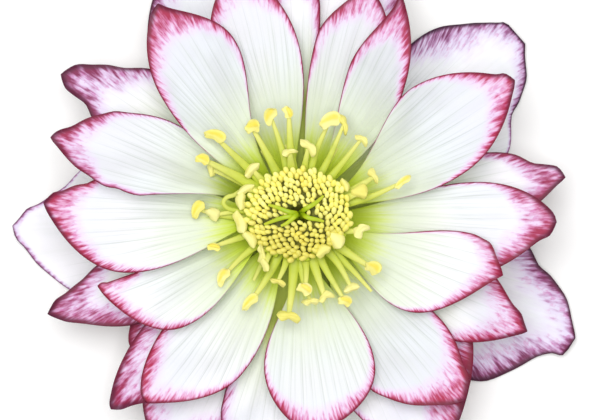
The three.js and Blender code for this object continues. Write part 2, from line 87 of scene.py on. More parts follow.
# ---------------------------------------------------------------------------------------------- sepals
# Five broad sepals, the outermost leaves of the bloom, grown from the foot of the receptacle. They are
# leathery, white with a dark purple margin, and bend down to the table at their middles.
# A row: direction of the tip in degrees, reach from the axis, left and right side as [half width, where
# it is widest, power of the rounding to the tip, power of the waist], and lean of the root.

SEPALS = [
    [254, 38.0, [10.5, 24.0, 0.9, 1.2], [10.5, 24.0, 0.9, 1.2], 0],
    [117, 37.5, [8.6, 24.0, 0.77, 1.2], [10.0, 24.0, 0.9, 1.2], 0],
    [37.2, 38.0, [9.2, 27.0, 0.6, 1.2, [33.0, -0.35, 2.0], [36.6, 0.5, 1.0], [37.8, 1.8, 0.8]],
     [10.6, 24.0, 1.2, 1.2, [27.5, 0.4, 1.5], [30.8, -1.1, 1.6], [35.6, 0.95, 1.7]], 0],
    [182, 38.1, [11.0, 24.0, 0.85, 1.2, [35.2, 0.25, 1.2], [37.8, 0.6, 0.9]],
     [9.5, 22.0, 1.4, 1.2, [31.0, -0.65, 1.6], [36.3, 1.0, 1.5]], 0],
    [-23.8, 40.4, [10.0, 24.0, 0.95, 1.2, [32.1, -0.75, 1.5], [37.5, 0.7, 2.0]],
     [11.5, 26.0, 1.1, 1.2, [32.0, 0.6, 2.0], [36.6, -0.4, 1.1], [39.9, 1.9, 1.3]], 0],
]
SEPAL_ROOT = 1.7  # half width of a root
SEPAL_SPREADING = 1.011  # how far a leaf runs out, for 1 of its solid
# How deep the flush runs in from the left margin, the tip and the right margin, how dark it is, and how
# much painted shade greys the white of the leaf, for a leaf that lies in shade.
SEPAL_FLUSH_AND_SHADE = [
    [1.4, 3.0, 1.8, 0.5, 0.1],
    [3.2, 3.6, 1.8, 0.8, 0.1],
    [5.6, 2.2, 0.3, 0.95, 0.0],
    [0.25, 0.6, 0.3, 0.9, 0.0],
    [5.4, 2.4, 8.0, 0.85, 0.0],
]
ROOT_RADIUS = 4.2  # the axis to the root of a blade
CAD_ROWS, CAD_COLUMNS = 10, 6  # steps along and across the solid of a blade
ROWS, COLUMNS = 46, 30  # and along and across the blade made here
ROW_CROWDING = 1.3  # above 1, rows crowd towards the tip
TIP_HALF_WIDTH = 0.06
CAD_TIP_HALF_WIDTH = 0.35
TIP_ROUNDING = 0.25  # how far a tip is rounded off, and over what length
TIP_ROUNDING_LENGTH = 0.8
SAME_SPOT = 0.03  # closer than this, two points in plan are one
THICKNESS = 0.34
MARGIN_THICKNESS = 0.12
MARGIN_TAPER = 0.6  # how far in from the margin a blade thickens
TABLE_GAP = 0.02  # between the lowest leaves and the table
FAN_POWER = 0.85  # how fast the veins spread from the root, and from how far behind it
FAN_START = 2.0
PLEAT = 0.05  # height of the faint folds that follow the veins
PLEAT_LENGTHS = 2.1, 3.3, 5.2  # from fold to fold, for each of three sets
PLEAT_SHIFTS = 6.3  # each set is shifted by up to this angle
PLEAT_WANDER = 0.6, 6.0  # how far the folds wander, and over what length
PATTERN_STEP = 7.31  # sets the streaks of each leaf apart from those of the others


def heading(direction):
    """Cosine and sine of a direction in degrees."""
    return math.cos(math.radians(direction)), math.sin(math.radians(direction))


def place_of(step, steps):
    """How far out a row of points lies, from 0 at the root to 1 at the tip."""
    return 1 - (1 - step / steps) ** ROW_CROWDING


def side_width(side, root, reach, s, tip, rounding):
    """Half width of a blade on one side. Past the four numbers of a side come the waves of its margin,
    which its solid does without: where, how far out, and how long."""
    width, widest, roundness, waist = side[:4]
    if s < widest:
        growth = math.sin(math.pi / 2 * (s - ROOT_RADIUS) / (widest - ROOT_RADIUS))
        across = root + (width - root) * max(growth, 0) ** waist
    else:
        x = (s - widest) / (reach - widest)
        across = width * max(1 - x * x, 0) ** roundness
    for at, out, length in side[4:]:
        near_tip = min(max((reach - s) / (reach - at), 0), 1) ** 0.5
        across += out * math.exp(-(((s - at) / length) ** 2)) * near_tip
    left_over = max(reach - s, 0)
    across += rounding * left_over ** 0.5 * math.exp(-((left_over / TIP_ROUNDING_LENGTH) ** 2))
    return max(across, tip)


def plan_point(row, root, place, across, solid=False):
    """Where a grid point of a blade, or of its solid, lies in plan, along its axis and beside it."""
    direction, reach, left, right, lean = row
    if solid:
        left, right = left[:4], right[:4]
    tip, rounding = (CAD_TIP_HALF_WIDTH, 0.0) if solid else (TIP_HALF_WIDTH, TIP_ROUNDING)
    s = ROOT_RADIUS + (reach - ROOT_RADIUS) * place
    widths = [side_width(side, root, reach, s, tip, rounding) for side in (left, right)]
    grown = min((s - ROOT_RADIUS) / (left[1] - ROOT_RADIUS), 1)
    w = (widths[0] - widths[1]) / 2 + lean * (1 - grown) + across * (widths[0] + widths[1]) / 2
    cos, sin = heading(direction)
    return s * cos - w * sin + AXIS.x, s * sin + w * cos + AXIS.y, s, w


def solid_heights(name, row, root):
    """Height of the middle of a blade's solid at each of its own grid points."""
    points = np.array([vertex.co for vertex in frame["nodes"][name].data.vertices]) / MM
    heights = np.zeros((CAD_ROWS + 1, CAD_COLUMNS + 1))
    for i in range(CAD_ROWS + 1):
        for j in range(CAD_COLUMNS + 1):
            x, y, _, _ = plan_point(row, root, place_of(i, CAD_ROWS), 2 * j / CAD_COLUMNS - 1, True)
            level = points[np.hypot(points[:, 0] - x, points[:, 1] - y) < SAME_SPOT, 2]
            heights[i, j] = (level.min() + level.max()) / 2
    return heights


def smooth_through(places, count):
    """How much each of count even steps adds to a smooth curve through them, at each of the places."""
    weights = np.zeros((len(places), count))
    for n, place in enumerate(places):
        first = min(int(place), count - 2)
        f = place - first
        shares = (
            (-f + 2 * f ** 2 - f ** 3) / 2, (2 - 5 * f ** 2 + 3 * f ** 3) / 2,
            (f + 4 * f ** 2 - 3 * f ** 3) / 2, (f ** 3 - f ** 2) / 2,
        )
        for step, share in enumerate(shares, first - 1):
            if step < 0:
                weights[n, :2] += 2 * share, -share
            elif step >= count:
                weights[n, -2:] += -share, 2 * share
            else:
                weights[n, step] += share
    return weights


def ease(low, high, value):
    """Smooth step from 0 at low to 1 at high."""
    t = np.clip((value - low) / (high - low), 0, 1)
    return t * t * (3 - 2 * t)


def distance_to(line, points):
    """Distance in plan from each point to a line of points."""
    start, step = line[:-1], np.diff(line, axis=0)
    away = points[:, None, :] - start[None]
    along = (away * step).sum(2) / np.maximum((step ** 2).sum(1), 1e-9)
    away -= np.clip(along, 0, 1)[..., None] * step
    return np.sqrt((away ** 2).sum(2).min(1))


def new_mesh(name, points, edges, faces, **carried):
    """A smooth mesh from points in millimetres, with the numbers or vectors that its points carry."""
    mesh = bpy.data.meshes.new(name)
    mesh.from_pydata((np.array(points, dtype=float) * MM).tolist(), edges, faces)
    mesh.polygons.foreach_set("use_smooth", [True] * len(mesh.polygons))
    for label, values in carried.items():
        values = np.array(values, dtype=float)
        kind, part = ("FLOAT", "value") if values.ndim == 1 else ("FLOAT_VECTOR", "vector")
        mesh.attributes.new(label, kind, "POINT").data.foreach_set(part, values.ravel())
    return mesh


def shell_faces(rows, columns):
    """Faces of a thin closed sheet: a grid of points on its upper side, then the same on its underside,
    joined round the edge."""
    wide, count = columns + 1, (rows + 1) * (columns + 1)
    faces = []
    for i in range(rows):
        for j in range(columns):
            a = i * wide + j
            b, c, d = a + 1, a + wide + 1, a + wide
            faces += [(a, d, c, b), (a + count, b + count, c + count, d + count)]
    edge = [*range(columns), *(i * wide + columns for i in range(rows))]
    edge += [*(rows * wide + j for j in range(columns, 0, -1)), *(i * wide for i in range(rows, 0, -1))]
    return faces + [(a, b, b + count, a + count) for a, b in zip(edge, edge[1:] + edge[:1])]


def make_blade(name, row, root, flush, seed, raised, spreading):
    """A thin closed blade over the place of its solid. It carries what its material follows: "vein" is
    across the veins, along them and a seed, "margin" the distance to the margin, depth and darkness of
    the flush, a number for how far painted shade greys its white, and "back" is 1 on the underside.
    raised lists its creases, and spreading is how far it runs out for 1 of its solid."""
    places = [place_of(step, ROWS) for step in range(ROWS + 1)]
    steps = np.linspace(-1, 1, COLUMNS + 1)
    acrosses = 0.5 * steps + 0.5 * np.sin(steps * math.pi / 2)
    grid = np.array([[plan_point(row, root, place, across) for across in acrosses] for place in places])
    x, y, s, w = (grid[..., n] for n in range(4))
    place = np.repeat(np.array(places)[:, None], COLUMNS + 1, 1)
    across = np.repeat(acrosses[None], ROWS + 1, 0)

    rows = [CAD_ROWS * (1 - (1 - at) ** (1 / ROW_CROWDING)) for at in places]
    columns = (acrosses + 1) * CAD_COLUMNS / 2
    z = smooth_through(rows, CAD_ROWS + 1) @ solid_heights(name, row, root) @ smooth_through(
        columns, CAD_COLUMNS + 1
    ).T

    outline = np.stack([x, y], 2)
    flat = outline.reshape(-1, 2)
    rim = np.minimum(distance_to(outline[:, 0], flat), distance_to(outline[:, -1], flat)).reshape(x.shape)
    widest = (row[2][1] + row[3][1]) / 2
    behind = ROOT_RADIUS - FAN_START
    vein = w / ((s - behind) / (widest - behind)) ** FAN_POWER

    random = np.random.default_rng(seed)
    wander, wander_length = PLEAT_WANDER
    pleats = sum(
        np.cos(
            2 * math.pi * vein / length + random.uniform(0, PLEAT_SHIFTS)
            + wander * np.sin(s / wander_length + length)
        )
        for length in PLEAT_LENGTHS
    )
    z += PLEAT * pleats * ease(0.05, 0.35, place) * ease(0, 2.5, rim)
    for side, start, height in raised:
        strip = np.clip((side * across - start) / (1 - start), 0, 1)
        z += height * strip * ease(0.15, 0.5, place) * (1 - ease(0.85, 1, place))

    inwards = np.sqrt(np.clip(rim / MARGIN_TAPER, 0, 1))
    half = (MARGIN_THICKNESS + (THICKNESS - MARGIN_THICKNESS) * inwards) / 2
    z = np.maximum(z, half + TABLE_GAP)
    left_deep, tip_deep, right_deep, dark, grey = flush
    beside = ease(-0.3, 0.3, across)
    sides = (right_deep + (left_deep - right_deep) * beside) * ease(0.35, 0.88, place)
    depth = sides + (tip_deep - sides) * ease(0.7, 0.98, place)

    x, y = x * spreading, y * spreading
    upper, lower = (np.stack([x, y, height], 2).reshape(-1, 3) for height in (z + half, z - half))
    vein = np.stack([vein, s, np.full_like(s, seed * PATTERN_STEP)], 2).reshape(-1, 3)
    margin = np.stack([rim, depth, np.full_like(s, dark)], 2).reshape(-1, 3)
    return new_mesh(
        name, np.concatenate([upper, lower]), [], shell_faces(ROWS, COLUMNS),
        vein=np.concatenate([vein, vein]), margin=np.concatenate([margin, margin]),
        back=np.repeat([0.0, 1.0], x.size), grey=np.full(2 * x.size, grey),
    )


def seat(name, mesh, material, slot, *nodes):
    """Puts a finished mesh on the bloom, in the place of the CAD nodes that it stands for."""
    piece = bpy.data.objects.new(name, mesh)
    bpy.context.scene.collection.objects.link(piece)
    if not mesh.materials:
        mesh.materials.append(material)
    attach(piece, "root")
    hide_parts(*nodes)
    return piece


def colour(red, green, blue):
    """A colour given as 0 to 255 on a screen, as Blender's linear values."""
    parts = [part / 255 for part in (red, green, blue)]
    return [part / 12.92 if part < 0.04045 else ((part + 0.055) / 1.055) ** 2.4 for part in parts] + [1]


class Wire:
    """A socket of a material's nodes. Arithmetic on it adds Math nodes, and node() adds any other."""

    def __init__(self, tree, socket=None):
        self.tree, self.socket = tree, socket

    def node(self, kind, settings, sockets, output=0):
        made = self.tree.nodes.new(kind)
        for setting, value in settings.items():
            setattr(made, setting, value)
        for key, value in sockets.items():
            if isinstance(value, Wire):
                self.tree.links.new(value.socket, made.inputs[key])
            else:
                made.inputs[key].default_value = value
        return Wire(self.tree, made.outputs[output])

    def math(self, operation, other=0.0, reflected=False):
        first, second = (other, self) if reflected else (self, other)
        return self.node("ShaderNodeMath", {"operation": operation}, {0: first, 1: second})

    def __add__(self, other):
        return self.math("ADD", other)

    def __sub__(self, other):
        return self.math("SUBTRACT", other)

    def __rsub__(self, other):
        return self.math("SUBTRACT", other, True)

    def __mul__(self, other):
        return self.math("MULTIPLY", other)

    def __truediv__(self, other):
        return self.math("DIVIDE", other)

    def __rtruediv__(self, other):
        return self.math("DIVIDE", other, True)

    __radd__, __rmul__ = __add__, __mul__

    def step(self, low, high):
        """Smooth step from 0 at low to 1 at high."""
        settings = {"interpolation_type": "SMOOTHSTEP"}
        return self.node("ShaderNodeMapRange", settings, {"Value": self, 1: low, 2: high})

    def blend(self, first, second, factor):
        return self.node("ShaderNodeMix", {"data_type": "RGBA"}, {0: factor, 6: first, 7: second}, 2)

    def vector_math(self, operation, other=(0.0, 0.0, 0.0), output=0):
        return self.node("ShaderNodeVectorMath", {"operation": operation}, {0: self, 1: other}, output)

    def vector(self, x, y, z):
        return self.node("ShaderNodeCombineXYZ", {}, {0: x, 1: y, 2: z})

    def noise(self, at, detail=2.0, scale=1.0):
        return self.node("ShaderNodeTexNoise", {}, {"Vector": at, "Scale": scale, "Detail": detail})

    def part(self, axis):
        return self.node("ShaderNodeSeparateXYZ", {}, {0: self}, axis)

    def carried(self, label, output="Fac"):
        """A number that the mesh carries, or a vector."""
        return self.node("ShaderNodeAttribute", {"attribute_name": label}, {}, output)

    def object_place(self):
        return self.node("ShaderNodeTexCoord", {}, {}, "Object")


def new_material(name):
    material = bpy.data.materials.new(name)
    material.use_nodes = True
    return material, Wire(material.node_tree)


def finish_material(material, base, roughness, height, depth, **constants):
    """Feeds the shader with its colour, its roughness and a relief whose height, from 0 to 1, is over
    depth in millimetres. constants are other sockets, with _ for each space in their names."""
    tree = material.node_tree
    shader = tree.nodes["Principled BSDF"]
    tree.links.new(base.socket, shader.inputs["Base Color"])
    tree.links.new(roughness.socket, shader.inputs["Roughness"])
    bump = base.node("ShaderNodeBump", {}, {"Height": height, "Distance": depth * MM, "Strength": 1.0})
    tree.links.new(bump.socket, shader.inputs["Normal"])
    for socket, value in constants.items():
        shader.inputs[socket.replace("_", " ")].default_value = value
    return material


# Colours of every leaf. Where there are two, the second is that of the darkest flush.
# The grey of painted shade, which greys the white of a leaf that lies in shade.
SHADED_WHITE = colour(203, 207, 209)
COOL_WHITE = colour(232, 238, 242)
LILAC_WHITE = colour(229, 227, 243)
STRIPE = colour(222, 227, 222)
VEIN_GREEN = colour(178, 188, 178)
OUTER_FOOT = colour(218, 228, 200)
MIDDLE_FOOT = colour(220, 231, 140)
FLUSH_STAIN = colour(234, 208, 240), colour(222, 206, 240)
FLUSH_FLECK = colour(208, 116, 182)
FLUSH_PINK = colour(214, 90, 152), colour(160, 74, 146)
FLUSH_CRIMSON = colour(168, 14, 58), colour(96, 16, 70)
MARGIN_PLUM = colour(126, 10, 46), colour(44, 14, 44)
UNDERSIDE = colour(222, 226, 196)
# The sepals' white is a little whiter than the inner petals': partly their own white, partly painted light
# that offsets the shade the upper whorls cast on them.
SEPAL_LIT_WHITE, SEPAL_GREEN = colour(250, 250, 254), colour(190, 206, 96)
SEPAL_GREEN_END = 12.0  # the axis to where the green of the foot ends
# Two sets of veins: distance apart, shift, where they start and end from the axis, and strength.
VEIN_SETS = (0.66, 0.0, 6.0, 34.0, 1.0), (0.33, 0.2, 13.0, 31.0, 0.6)
VEIN_WIDTH = 2.9  # divided by the distance from the axis
VEIN_FADE = 13.0  # over what length the veins end
FLUSH_FAN = 24.0  # where the streaks of the flush are as far apart as their noise says
LEAF_RELIEF = 0.05


def petal_paint(name, body, foot, foot_end):
    """Paint of a leaf, from the colours of its body and its foot, and how far out the foot runs."""
    material, paint = new_material(name)
    vein, along, seed = (paint.carried("vein", "Vector").part(axis) for axis in range(3))
    rim, depth, dark = (paint.carried("margin", "Vector").part(axis) for axis in range(3))
    back, grey = paint.carried("back"), paint.carried("grey")

    # The body: white, faintly clouded and striped, with fine grey-green veins that fade outwards.
    cloud = paint.noise(paint.vector(vein * 0.12, along * 0.1, seed))
    striae = paint.noise(paint.vector(vein * 1.7, along * 0.06, seed))
    blush = paint.noise(paint.vector(vein * 0.16, along * 0.14, seed + 5.0))
    # Painted shade: each leaf's white is greyed by its own amount, for a leaf that lies in shade.
    painted = paint.blend(body, SHADED_WHITE, grey)
    painted = paint.blend(painted, COOL_WHITE, cloud.step(0.4, 0.65) * 0.6)
    lilac = (blush * 0.8 + 0.2) * along.step(18.0, 32.0) * (1 - dark * 0.8)
    painted = paint.blend(painted, LILAC_WHITE, lilac)
    painted = paint.blend(painted, STRIPE, striae.step(0.4, 0.8) * 0.25)
    wander = paint.noise(paint.vector(vein * 0.22, along * 0.035, seed + 3.0)) * 2.0
    faded = paint.noise(paint.vector(vein * 0.8, along * 0.15, seed + 9.0)).step(0.3, 0.6)
    veins = 0.0
    for apart, shift, start, end, strength in VEIN_SETS:
        across = vein + wander + shift
        line = 1 - across.math("PINGPONG", apart).step(0.0, VEIN_WIDTH / along)
        present = along.step(start, start + 5) * (1 - along.step(end - VEIN_FADE, end))
        veins = line * present * strength * (0.35 + faded * 0.65) + veins
    painted = paint.blend(painted, VEIN_GREEN, veins * 0.5)

    # Yellow-green at the foot, drawn out along the veins.
    reach = along + (striae - 0.5) * 4.0 + (cloud - 0.5) * 2.5
    painted = paint.blend(painted, OUTER_FOOT, (1 - reach.step(foot_end, foot_end + 11)) * 0.9)
    painted = paint.blend(painted, MIDDLE_FOOT, 1 - reach.step(foot_end - 2.5, foot_end + 2.5))
    painted = paint.blend(painted, foot, 1 - reach.step(foot_end - 4, foot_end + 1))

    # The flush: a thin dark line on the margin, a crimson band that breaks into streaks along the
    # veins where they fan out to it, pink beyond that, and a pale violet stain that runs furthest in.
    fan = vein * (FLUSH_FAN / along)
    streak = paint.noise(paint.vector(fan * 3.9, along * 0.48, seed + 20.0), 3.0)
    patch = paint.noise(paint.vector(fan * 0.6, along * 0.34, seed + 60.0), 1.0)
    fleck = paint.noise(paint.vector(fan * 4.0, along * 1.1, seed + 40.0), 2.0)
    inward = rim / (depth + 0.15)
    ragged = inward * 1.15 - 0.1 + (0.5 - streak) * 1.7 + (0.5 - patch) * 0.8
    softly = inward + (0.5 - streak) * 0.6 + (0.5 - patch) * 0.7
    grown = along.step(10.0, 18.0)
    stain = (1 - softly.step(0.3, 1.3)) * grown * 0.85
    painted = paint.blend(painted, paint.blend(*FLUSH_STAIN, dark), stain)
    flecks = fleck.step(0.53, 0.66) * (1 - softly.step(0.4, 0.95)) * grown * 0.5
    painted = paint.blend(painted, FLUSH_FLECK, flecks)
    pink = (1 - ragged.step(0.0, 0.68)) * grown * 0.75
    painted = paint.blend(painted, paint.blend(*FLUSH_PINK, dark), pink)
    # Where the flush is shallow, its band and the line on the margin are faint towards the tip.
    bold = 1 - (1 - depth.step(0.2, 0.9)) * along.step(24.0, 28.0) * 0.65
    crimson = (1 - ragged.step(-0.18, 0.3)) * grown * bold * 0.92
    painted = paint.blend(painted, paint.blend(*FLUSH_CRIMSON, dark), crimson)
    darkened = dark.math("MAXIMUM", along.step(27.0, 36.0) * 0.75)
    edge = (1 - (rim / (depth * 0.08 + 0.1)).step(0.3, 1.6)) * along.step(9.0, 20.0) * bold
    painted = paint.blend(painted, paint.blend(*MARGIN_PLUM, darkened), edge * 0.9)

    painted = paint.blend(painted, UNDERSIDE, back * 0.35)
    roughness = cloud * 0.14 + 0.5 - edge * 0.08
    height = striae * 0.6 + fleck * 0.12 - veins * 0.4
    return finish_material(material, painted, roughness, height, LEAF_RELIEF, Specular_IOR_Level=0.3)


def lay_leaves(kind, rows, root, flushes, paint, seed, creases=None, spreading=1.0):
    """Makes the leaves of one whorl and seats each in the place of its solid."""
    for n, (row, flush) in enumerate(zip(rows, flushes), 1):
        name = f"{kind}_{n}"
        raised = (creases or {}).get(n, [])
        blade = make_blade(name, row, root, flush, seed + n, raised, spreading)
        seat(f"{name}_leaf", blade, paint, kind, name)


sepal_paint = petal_paint("sepal_white_purple_margin", SEPAL_LIT_WHITE, SEPAL_GREEN, SEPAL_GREEN_END)
lay_leaves("sepal", SEPALS, SEPAL_ROOT, SEPAL_FLUSH_AND_SHADE, sepal_paint, 0, spreading=SEPAL_SPREADING)

# ---------------------------------------------------------------------------------------- outer petals
# Eleven petal-like sepals of the lower whorl, thinner than the true sepals, white with a margin that
# runs from crimson to plum at the tips. They grow from the receptacle above the sepals.

OUTER_PETALS = [
    [74.5, 38.0, [7.5, 23.0, 0.9, 1.6], [8.0, 23.0, 0.9, 1.6], 0],
    [-142.5, 28.3, [6.0, 19.0, 1.0, 1.6], [5.0, 19.0, 0.8, 1.6], 0],
    [-119.6, 36.0, [6.0, 23.0, 0.9, 1.6], [8.0, 24.0, 0.6, 1.6], 0],
    [-100.9, 32.5, [6.5, 22.0, 0.9, 1.6], [5.2, 27.0, 0.7, 1.6], 0],
    [-60, 38.0, [13.0, 21.0, 1.0, 1.6], [7.0, 22.0, 0.9, 1.6], 0],
    [-26.7, 34.2, [5.6, 23.0, 1.35, 1.6, [32.6, 0.7, 1.4]], [6.2, 22.0, 0.97, 1.6], 0],
    [8.3, 36.0, [4.8, 25.0, 0.9, 1.6, [31.9, -0.55, 1.4], [35.2, 0.6, 1.2]], [6.0, 23.0, 1.1, 1.6], 0],
    [149.1, 36.8, [4.2, 24.0, 1.1, 1.6, [31.9, -0.7, 1.5], [35.5, 0.55, 1.3]],
     [7.2, 23.5, 0.9, 1.6, [30.0, -0.6, 2.0], [35.8, 0.75, 1.5]], 0],
    [-158.6, 35.8, [5.8, 23.0, 1.1, 1.6, [34.2, 0.45, 1.8]],
     [4.4, 22.0, 1.1, 1.6, [29.8, -0.25, 1.5], [34.3, 0.55, 1.3]], 0],
    [-134.1, 35.8, [6.0, 22.0, 1.1, 1.6, [34.8, 0.35, 1.0]], [4.7, 22.0, 0.75, 1.6], 0],
    [90.7, 34.1, [4.5, 23.0, 0.9, 1.6], [3.3, 27.5, 0.7, 1.6], 0],
]
OUTER_ROOT = 0.7
OUTER_SPREADING = 1.005
# Whiter than the inner petals' white: partly their own white, partly painted light that offsets the shade
# of the inner petals over them.
OUTER_LIT_WHITE, OUTER_GREEN = colour(252, 252, 253), colour(178, 190, 84)
OUTER_GREEN_END = 17.0
OUTER_SEED = 10
# The same columns as for the sepals; the last is the painted shade.
OUTER_FLUSH_AND_SHADE = [
    [2.4, 4.6, 3.2, 0.7, 0.0],
    [5.0, 5.0, 5.0, 0.3, 0.0],
    [2.0, 4.0, 3.6, 0.2, 0.0],
    [0.9, 2.2, 1.6, 0.4, 0.0],
    [12.0, 6.0, 1.1, 0.15, 0.0],
    [3.0, 4.8, 2.4, 0.05, 0.0],
    [1.4, 5.2, 2.6, 0.4, 0.0],
    [2.2, 7.0, 3.8, 0.7, 0.0],
    [4.5, 6.4, 2.6, 0.5, 0.0],
    [2.3, 7.5, 4.4, 0.35, 0.0],
    [1.5, 3.6, 1.3, 0.2, 0.1],
]

outer_paint = petal_paint(
    "outer_petal_white_crimson_margin", OUTER_LIT_WHITE, OUTER_GREEN, OUTER_GREEN_END
)
lay_leaves(
    "outer_petal", OUTER_PETALS, OUTER_ROOT, OUTER_FLUSH_AND_SHADE, outer_paint, OUTER_SEED,
    spreading=OUTER_SPREADING,
)

# ---------------------------------------------------------------------------------------- inner petals
# Thirteen petal-like sepals of the upper whorl. They shingle over each other round the stamens, cupped
# and white, with a thin crimson margin that feathers inwards at the tips, and a yellow-green foot.

INNER_PETALS = [
    [-129.1, 32.1, [7.5, 20.9, 1.0, 0.9], [4.6, 21.0, 0.55, 1.6], 0],
    [-47.6, 33.2, [4.8, 23.0, 1.0, 1.6, [31.2, 0.7, 1.3]],
     [8.5, 21.5, 0.75, 1.6, [24.0, 0.2, 1.5], [31.0, -0.3, 1.5]], 0],
    [-1.3, 34.5, [5.1, 24.5, 0.65, 1.6], [8.0, 20.0, 0.95, 1.4, [33.7, 0.75, 1.1]], 0],
    [74.3, 32.1, [4.1, 23.5, 1.6, 1.3], [6.0, 22.0, 0.62, 1.6], 0],
    [-160.7, 28.3, [8.9, 19.5, 0.8, 1.2], [5.0, 19.0, 0.9, 1.6, [24.2, -6.0, 3.0]], 0],
    [-86.1, 29.1, [8.9, 20.7, 0.72, 1.5], [5.9, 20.2, 0.75, 2.4], 0],
    [-16.1, 28.4, [4.2, 23.0, 1.0, 3.0, [25.8, 0.45, 1.0]], [8.0, 17.5, 1.2, 1.4], -0.6],
    [65.2, 32.5, [2.2, 21.5, 2.4, 3.2], [5.8, 19.5, 0.85, 1.2], -1.2],
    [177.1, 34.0, [8.7, 22.8, 0.88, 1.3],
     [4.8, 21.0, 0.95, 1.8, [28.3, -0.4, 1.2], [32.8, 0.5, 0.9]], 0],
    [32.1, 34.1, [6.4, 21.9, 0.9, 2.8, [33.5, 0.55, 0.8]], [6.9, 21.7, 0.95, 1.1], -0.8],
    [103.8, 33.5, [6.0, 23.0, 0.6, 1.5], [5.6, 22.0, 0.7, 1.3], 0],
    [162.3, 34.6, [4.1, 24.5, 1.0, 3.0, [21.0, 0.25, 1.4], [24.0, -0.25, 0.9], [28.2, -0.2, 1.4]],
     [6.8, 21.5, 0.8, 1.7, [27.5, 0.25, 1.2], [32.4, -0.45, 1.2]], -0.7],
    [123.4, 33.9, [6.5, 22.4, 0.7, 0.9], [5.9, 24.5, 1.35, 3.2], 0.8],
]
INNER_ROOT = 0.6
INNER_WHITE, INNER_GREEN = colour(247, 248, 249), colour(196, 216, 52)
INNER_GREEN_END = 11.5
INNER_SEED = 30
# The same columns as for the sepals; the last is the painted shade.
INNER_FLUSH_AND_SHADE = [
    [1.2, 2.8, 2.4, 0.0, 0.2],
    [2.0, 6.6, 1.3, 0.0, 0.75],
    [0.7, 6.6, 3.6, 0.2, 0.0],
    [2.0, 4.4, 1.6, 0.1, 0.55],
    [1.7, 2.4, 0.7, 0.0, 0.0],
    [1.3, 4.0, 1.0, 0.0, 0.4],
    [0.8, 4.4, 1.4, 0.05, 0.1],
    [1.8, 6.0, 2.2, 0.1, 0.9],
    [2.2, 5.4, 1.0, 0.05, 0.1],
    [0.7, 4.6, 1.7, 0.0, 0.75],
    [1.4, 4.8, 1.0, 0.05, 0.4],
    [1.3, 6.0, 0.9, 0.3, 0.5],
    [2.4, 6.6, 1.5, 0.1, 0.9],
]
# Strips that are bent up or down along a crease: the side, where across the strip starts, the height.
INNER_CREASES = {
    2: [(1, 0.2, -0.6)],
    10: [(-1, 0.35, 1.1)],
    12: [(1, 0.3, 1.3)],
}

inner_paint = petal_paint(
    "inner_petal_white_crimson_margin", INNER_WHITE, INNER_GREEN, INNER_GREEN_END
)
lay_leaves(
    "inner_petal", INNER_PETALS, INNER_ROOT, INNER_FLUSH_AND_SHADE, inner_paint, INNER_SEED, INNER_CREASES
)

# ------------------------------------------------------------------------------------------ receptacle
# The swollen end of the stalk, which carries every leaf, petal and stamen of the bloom. Green and
# faintly ribbed, with a short stub of the stalk below that was cut square, so that its pith shows.

RECEPTACLE = [  # radius and height of its outline, from the cut face up
    [0.0, 0.62], [0.7, 0.6], [1.15, 0.5], [1.38, 0.5], [1.5, 0.62], [1.5, 1.3], [1.54, 2.0], [1.85, 2.7],
    [2.6, 3.3], [3.5, 3.8], [4.15, 4.3], [4.4, 5.0], [4.45, 6.5], [4.4, 8.0], [4.42, 9.5], [4.4, 11.0],
    [4.4, 12.5], [4.2, 13.2], [3.8, 13.6], [2.5, 13.68], [0.0, 13.68],
]
RECEPTACLE_SIDES = 60
AXIS_IN_PLAN = AXIS.x, AXIS.y, 0
RIBS = 10
RIB_HEIGHT = 0.07
PITH_RADIUS = 1.3
CUT_HEIGHT = 0.5  # of the cut face, over the table
RECEPTACLE_RELIEF = 0.06
STALK_GREEN, STALK_PALE = colour(150, 168, 92), colour(188, 202, 124)
RIDGE_YELLOW = colour(206, 216, 122)
SPECK_RED = colour(140, 70, 80)
PITH_CREAM, PITH_GREEN = colour(222, 228, 178), colour(128, 150, 80)


def ring_faces(rings, sides):
    """Faces of a closed body of rings of points, which starts and ends in a single point."""
    after = [(side + 1) % sides for side in range(sides)]
    faces = [(0, after[side] + 1, side + 1) for side in range(sides)]
    for ring in range(rings - 1):
        for side in range(sides):
            a, b = 1 + ring * sides + side, 1 + ring * sides + after[side]
            faces.append((a, b, b + sides, a + sides))
    last, top = 1 + rings * sides, 1 + (rings - 1) * sides
    return faces + [(last, top + side, top + after[side]) for side in range(sides)]


def turned(name, outline, sides, place):
    """A closed body turned round the bloom's axis from an outline that starts and ends on it. place
    says where a point goes: it takes radius, height and angle, and gives x, y and z."""
    angles = [2 * math.pi * side / sides for side in range(sides)]
    points = [place(0, outline[0][1], 0)]
    for r, z in outline[1:-1]:
        points += [place(r, z, turn) for turn in angles]
    points.append(place(0, outline[-1][1], 0))
    return new_mesh(name, np.array(points) + AXIS_IN_PLAN, [], ring_faces(len(outline) - 2, sides))


def ribbed(r, z, turn):
    """The ribs are deepest on the stub, and fade out on the swollen end above it."""
    r *= 1 + RIB_HEIGHT / 2 * (math.cos(RIBS * turn) - 1) * (1 - float(ease(2.5, 6.0, z)))
    return r * math.cos(turn), r * math.sin(turn), z


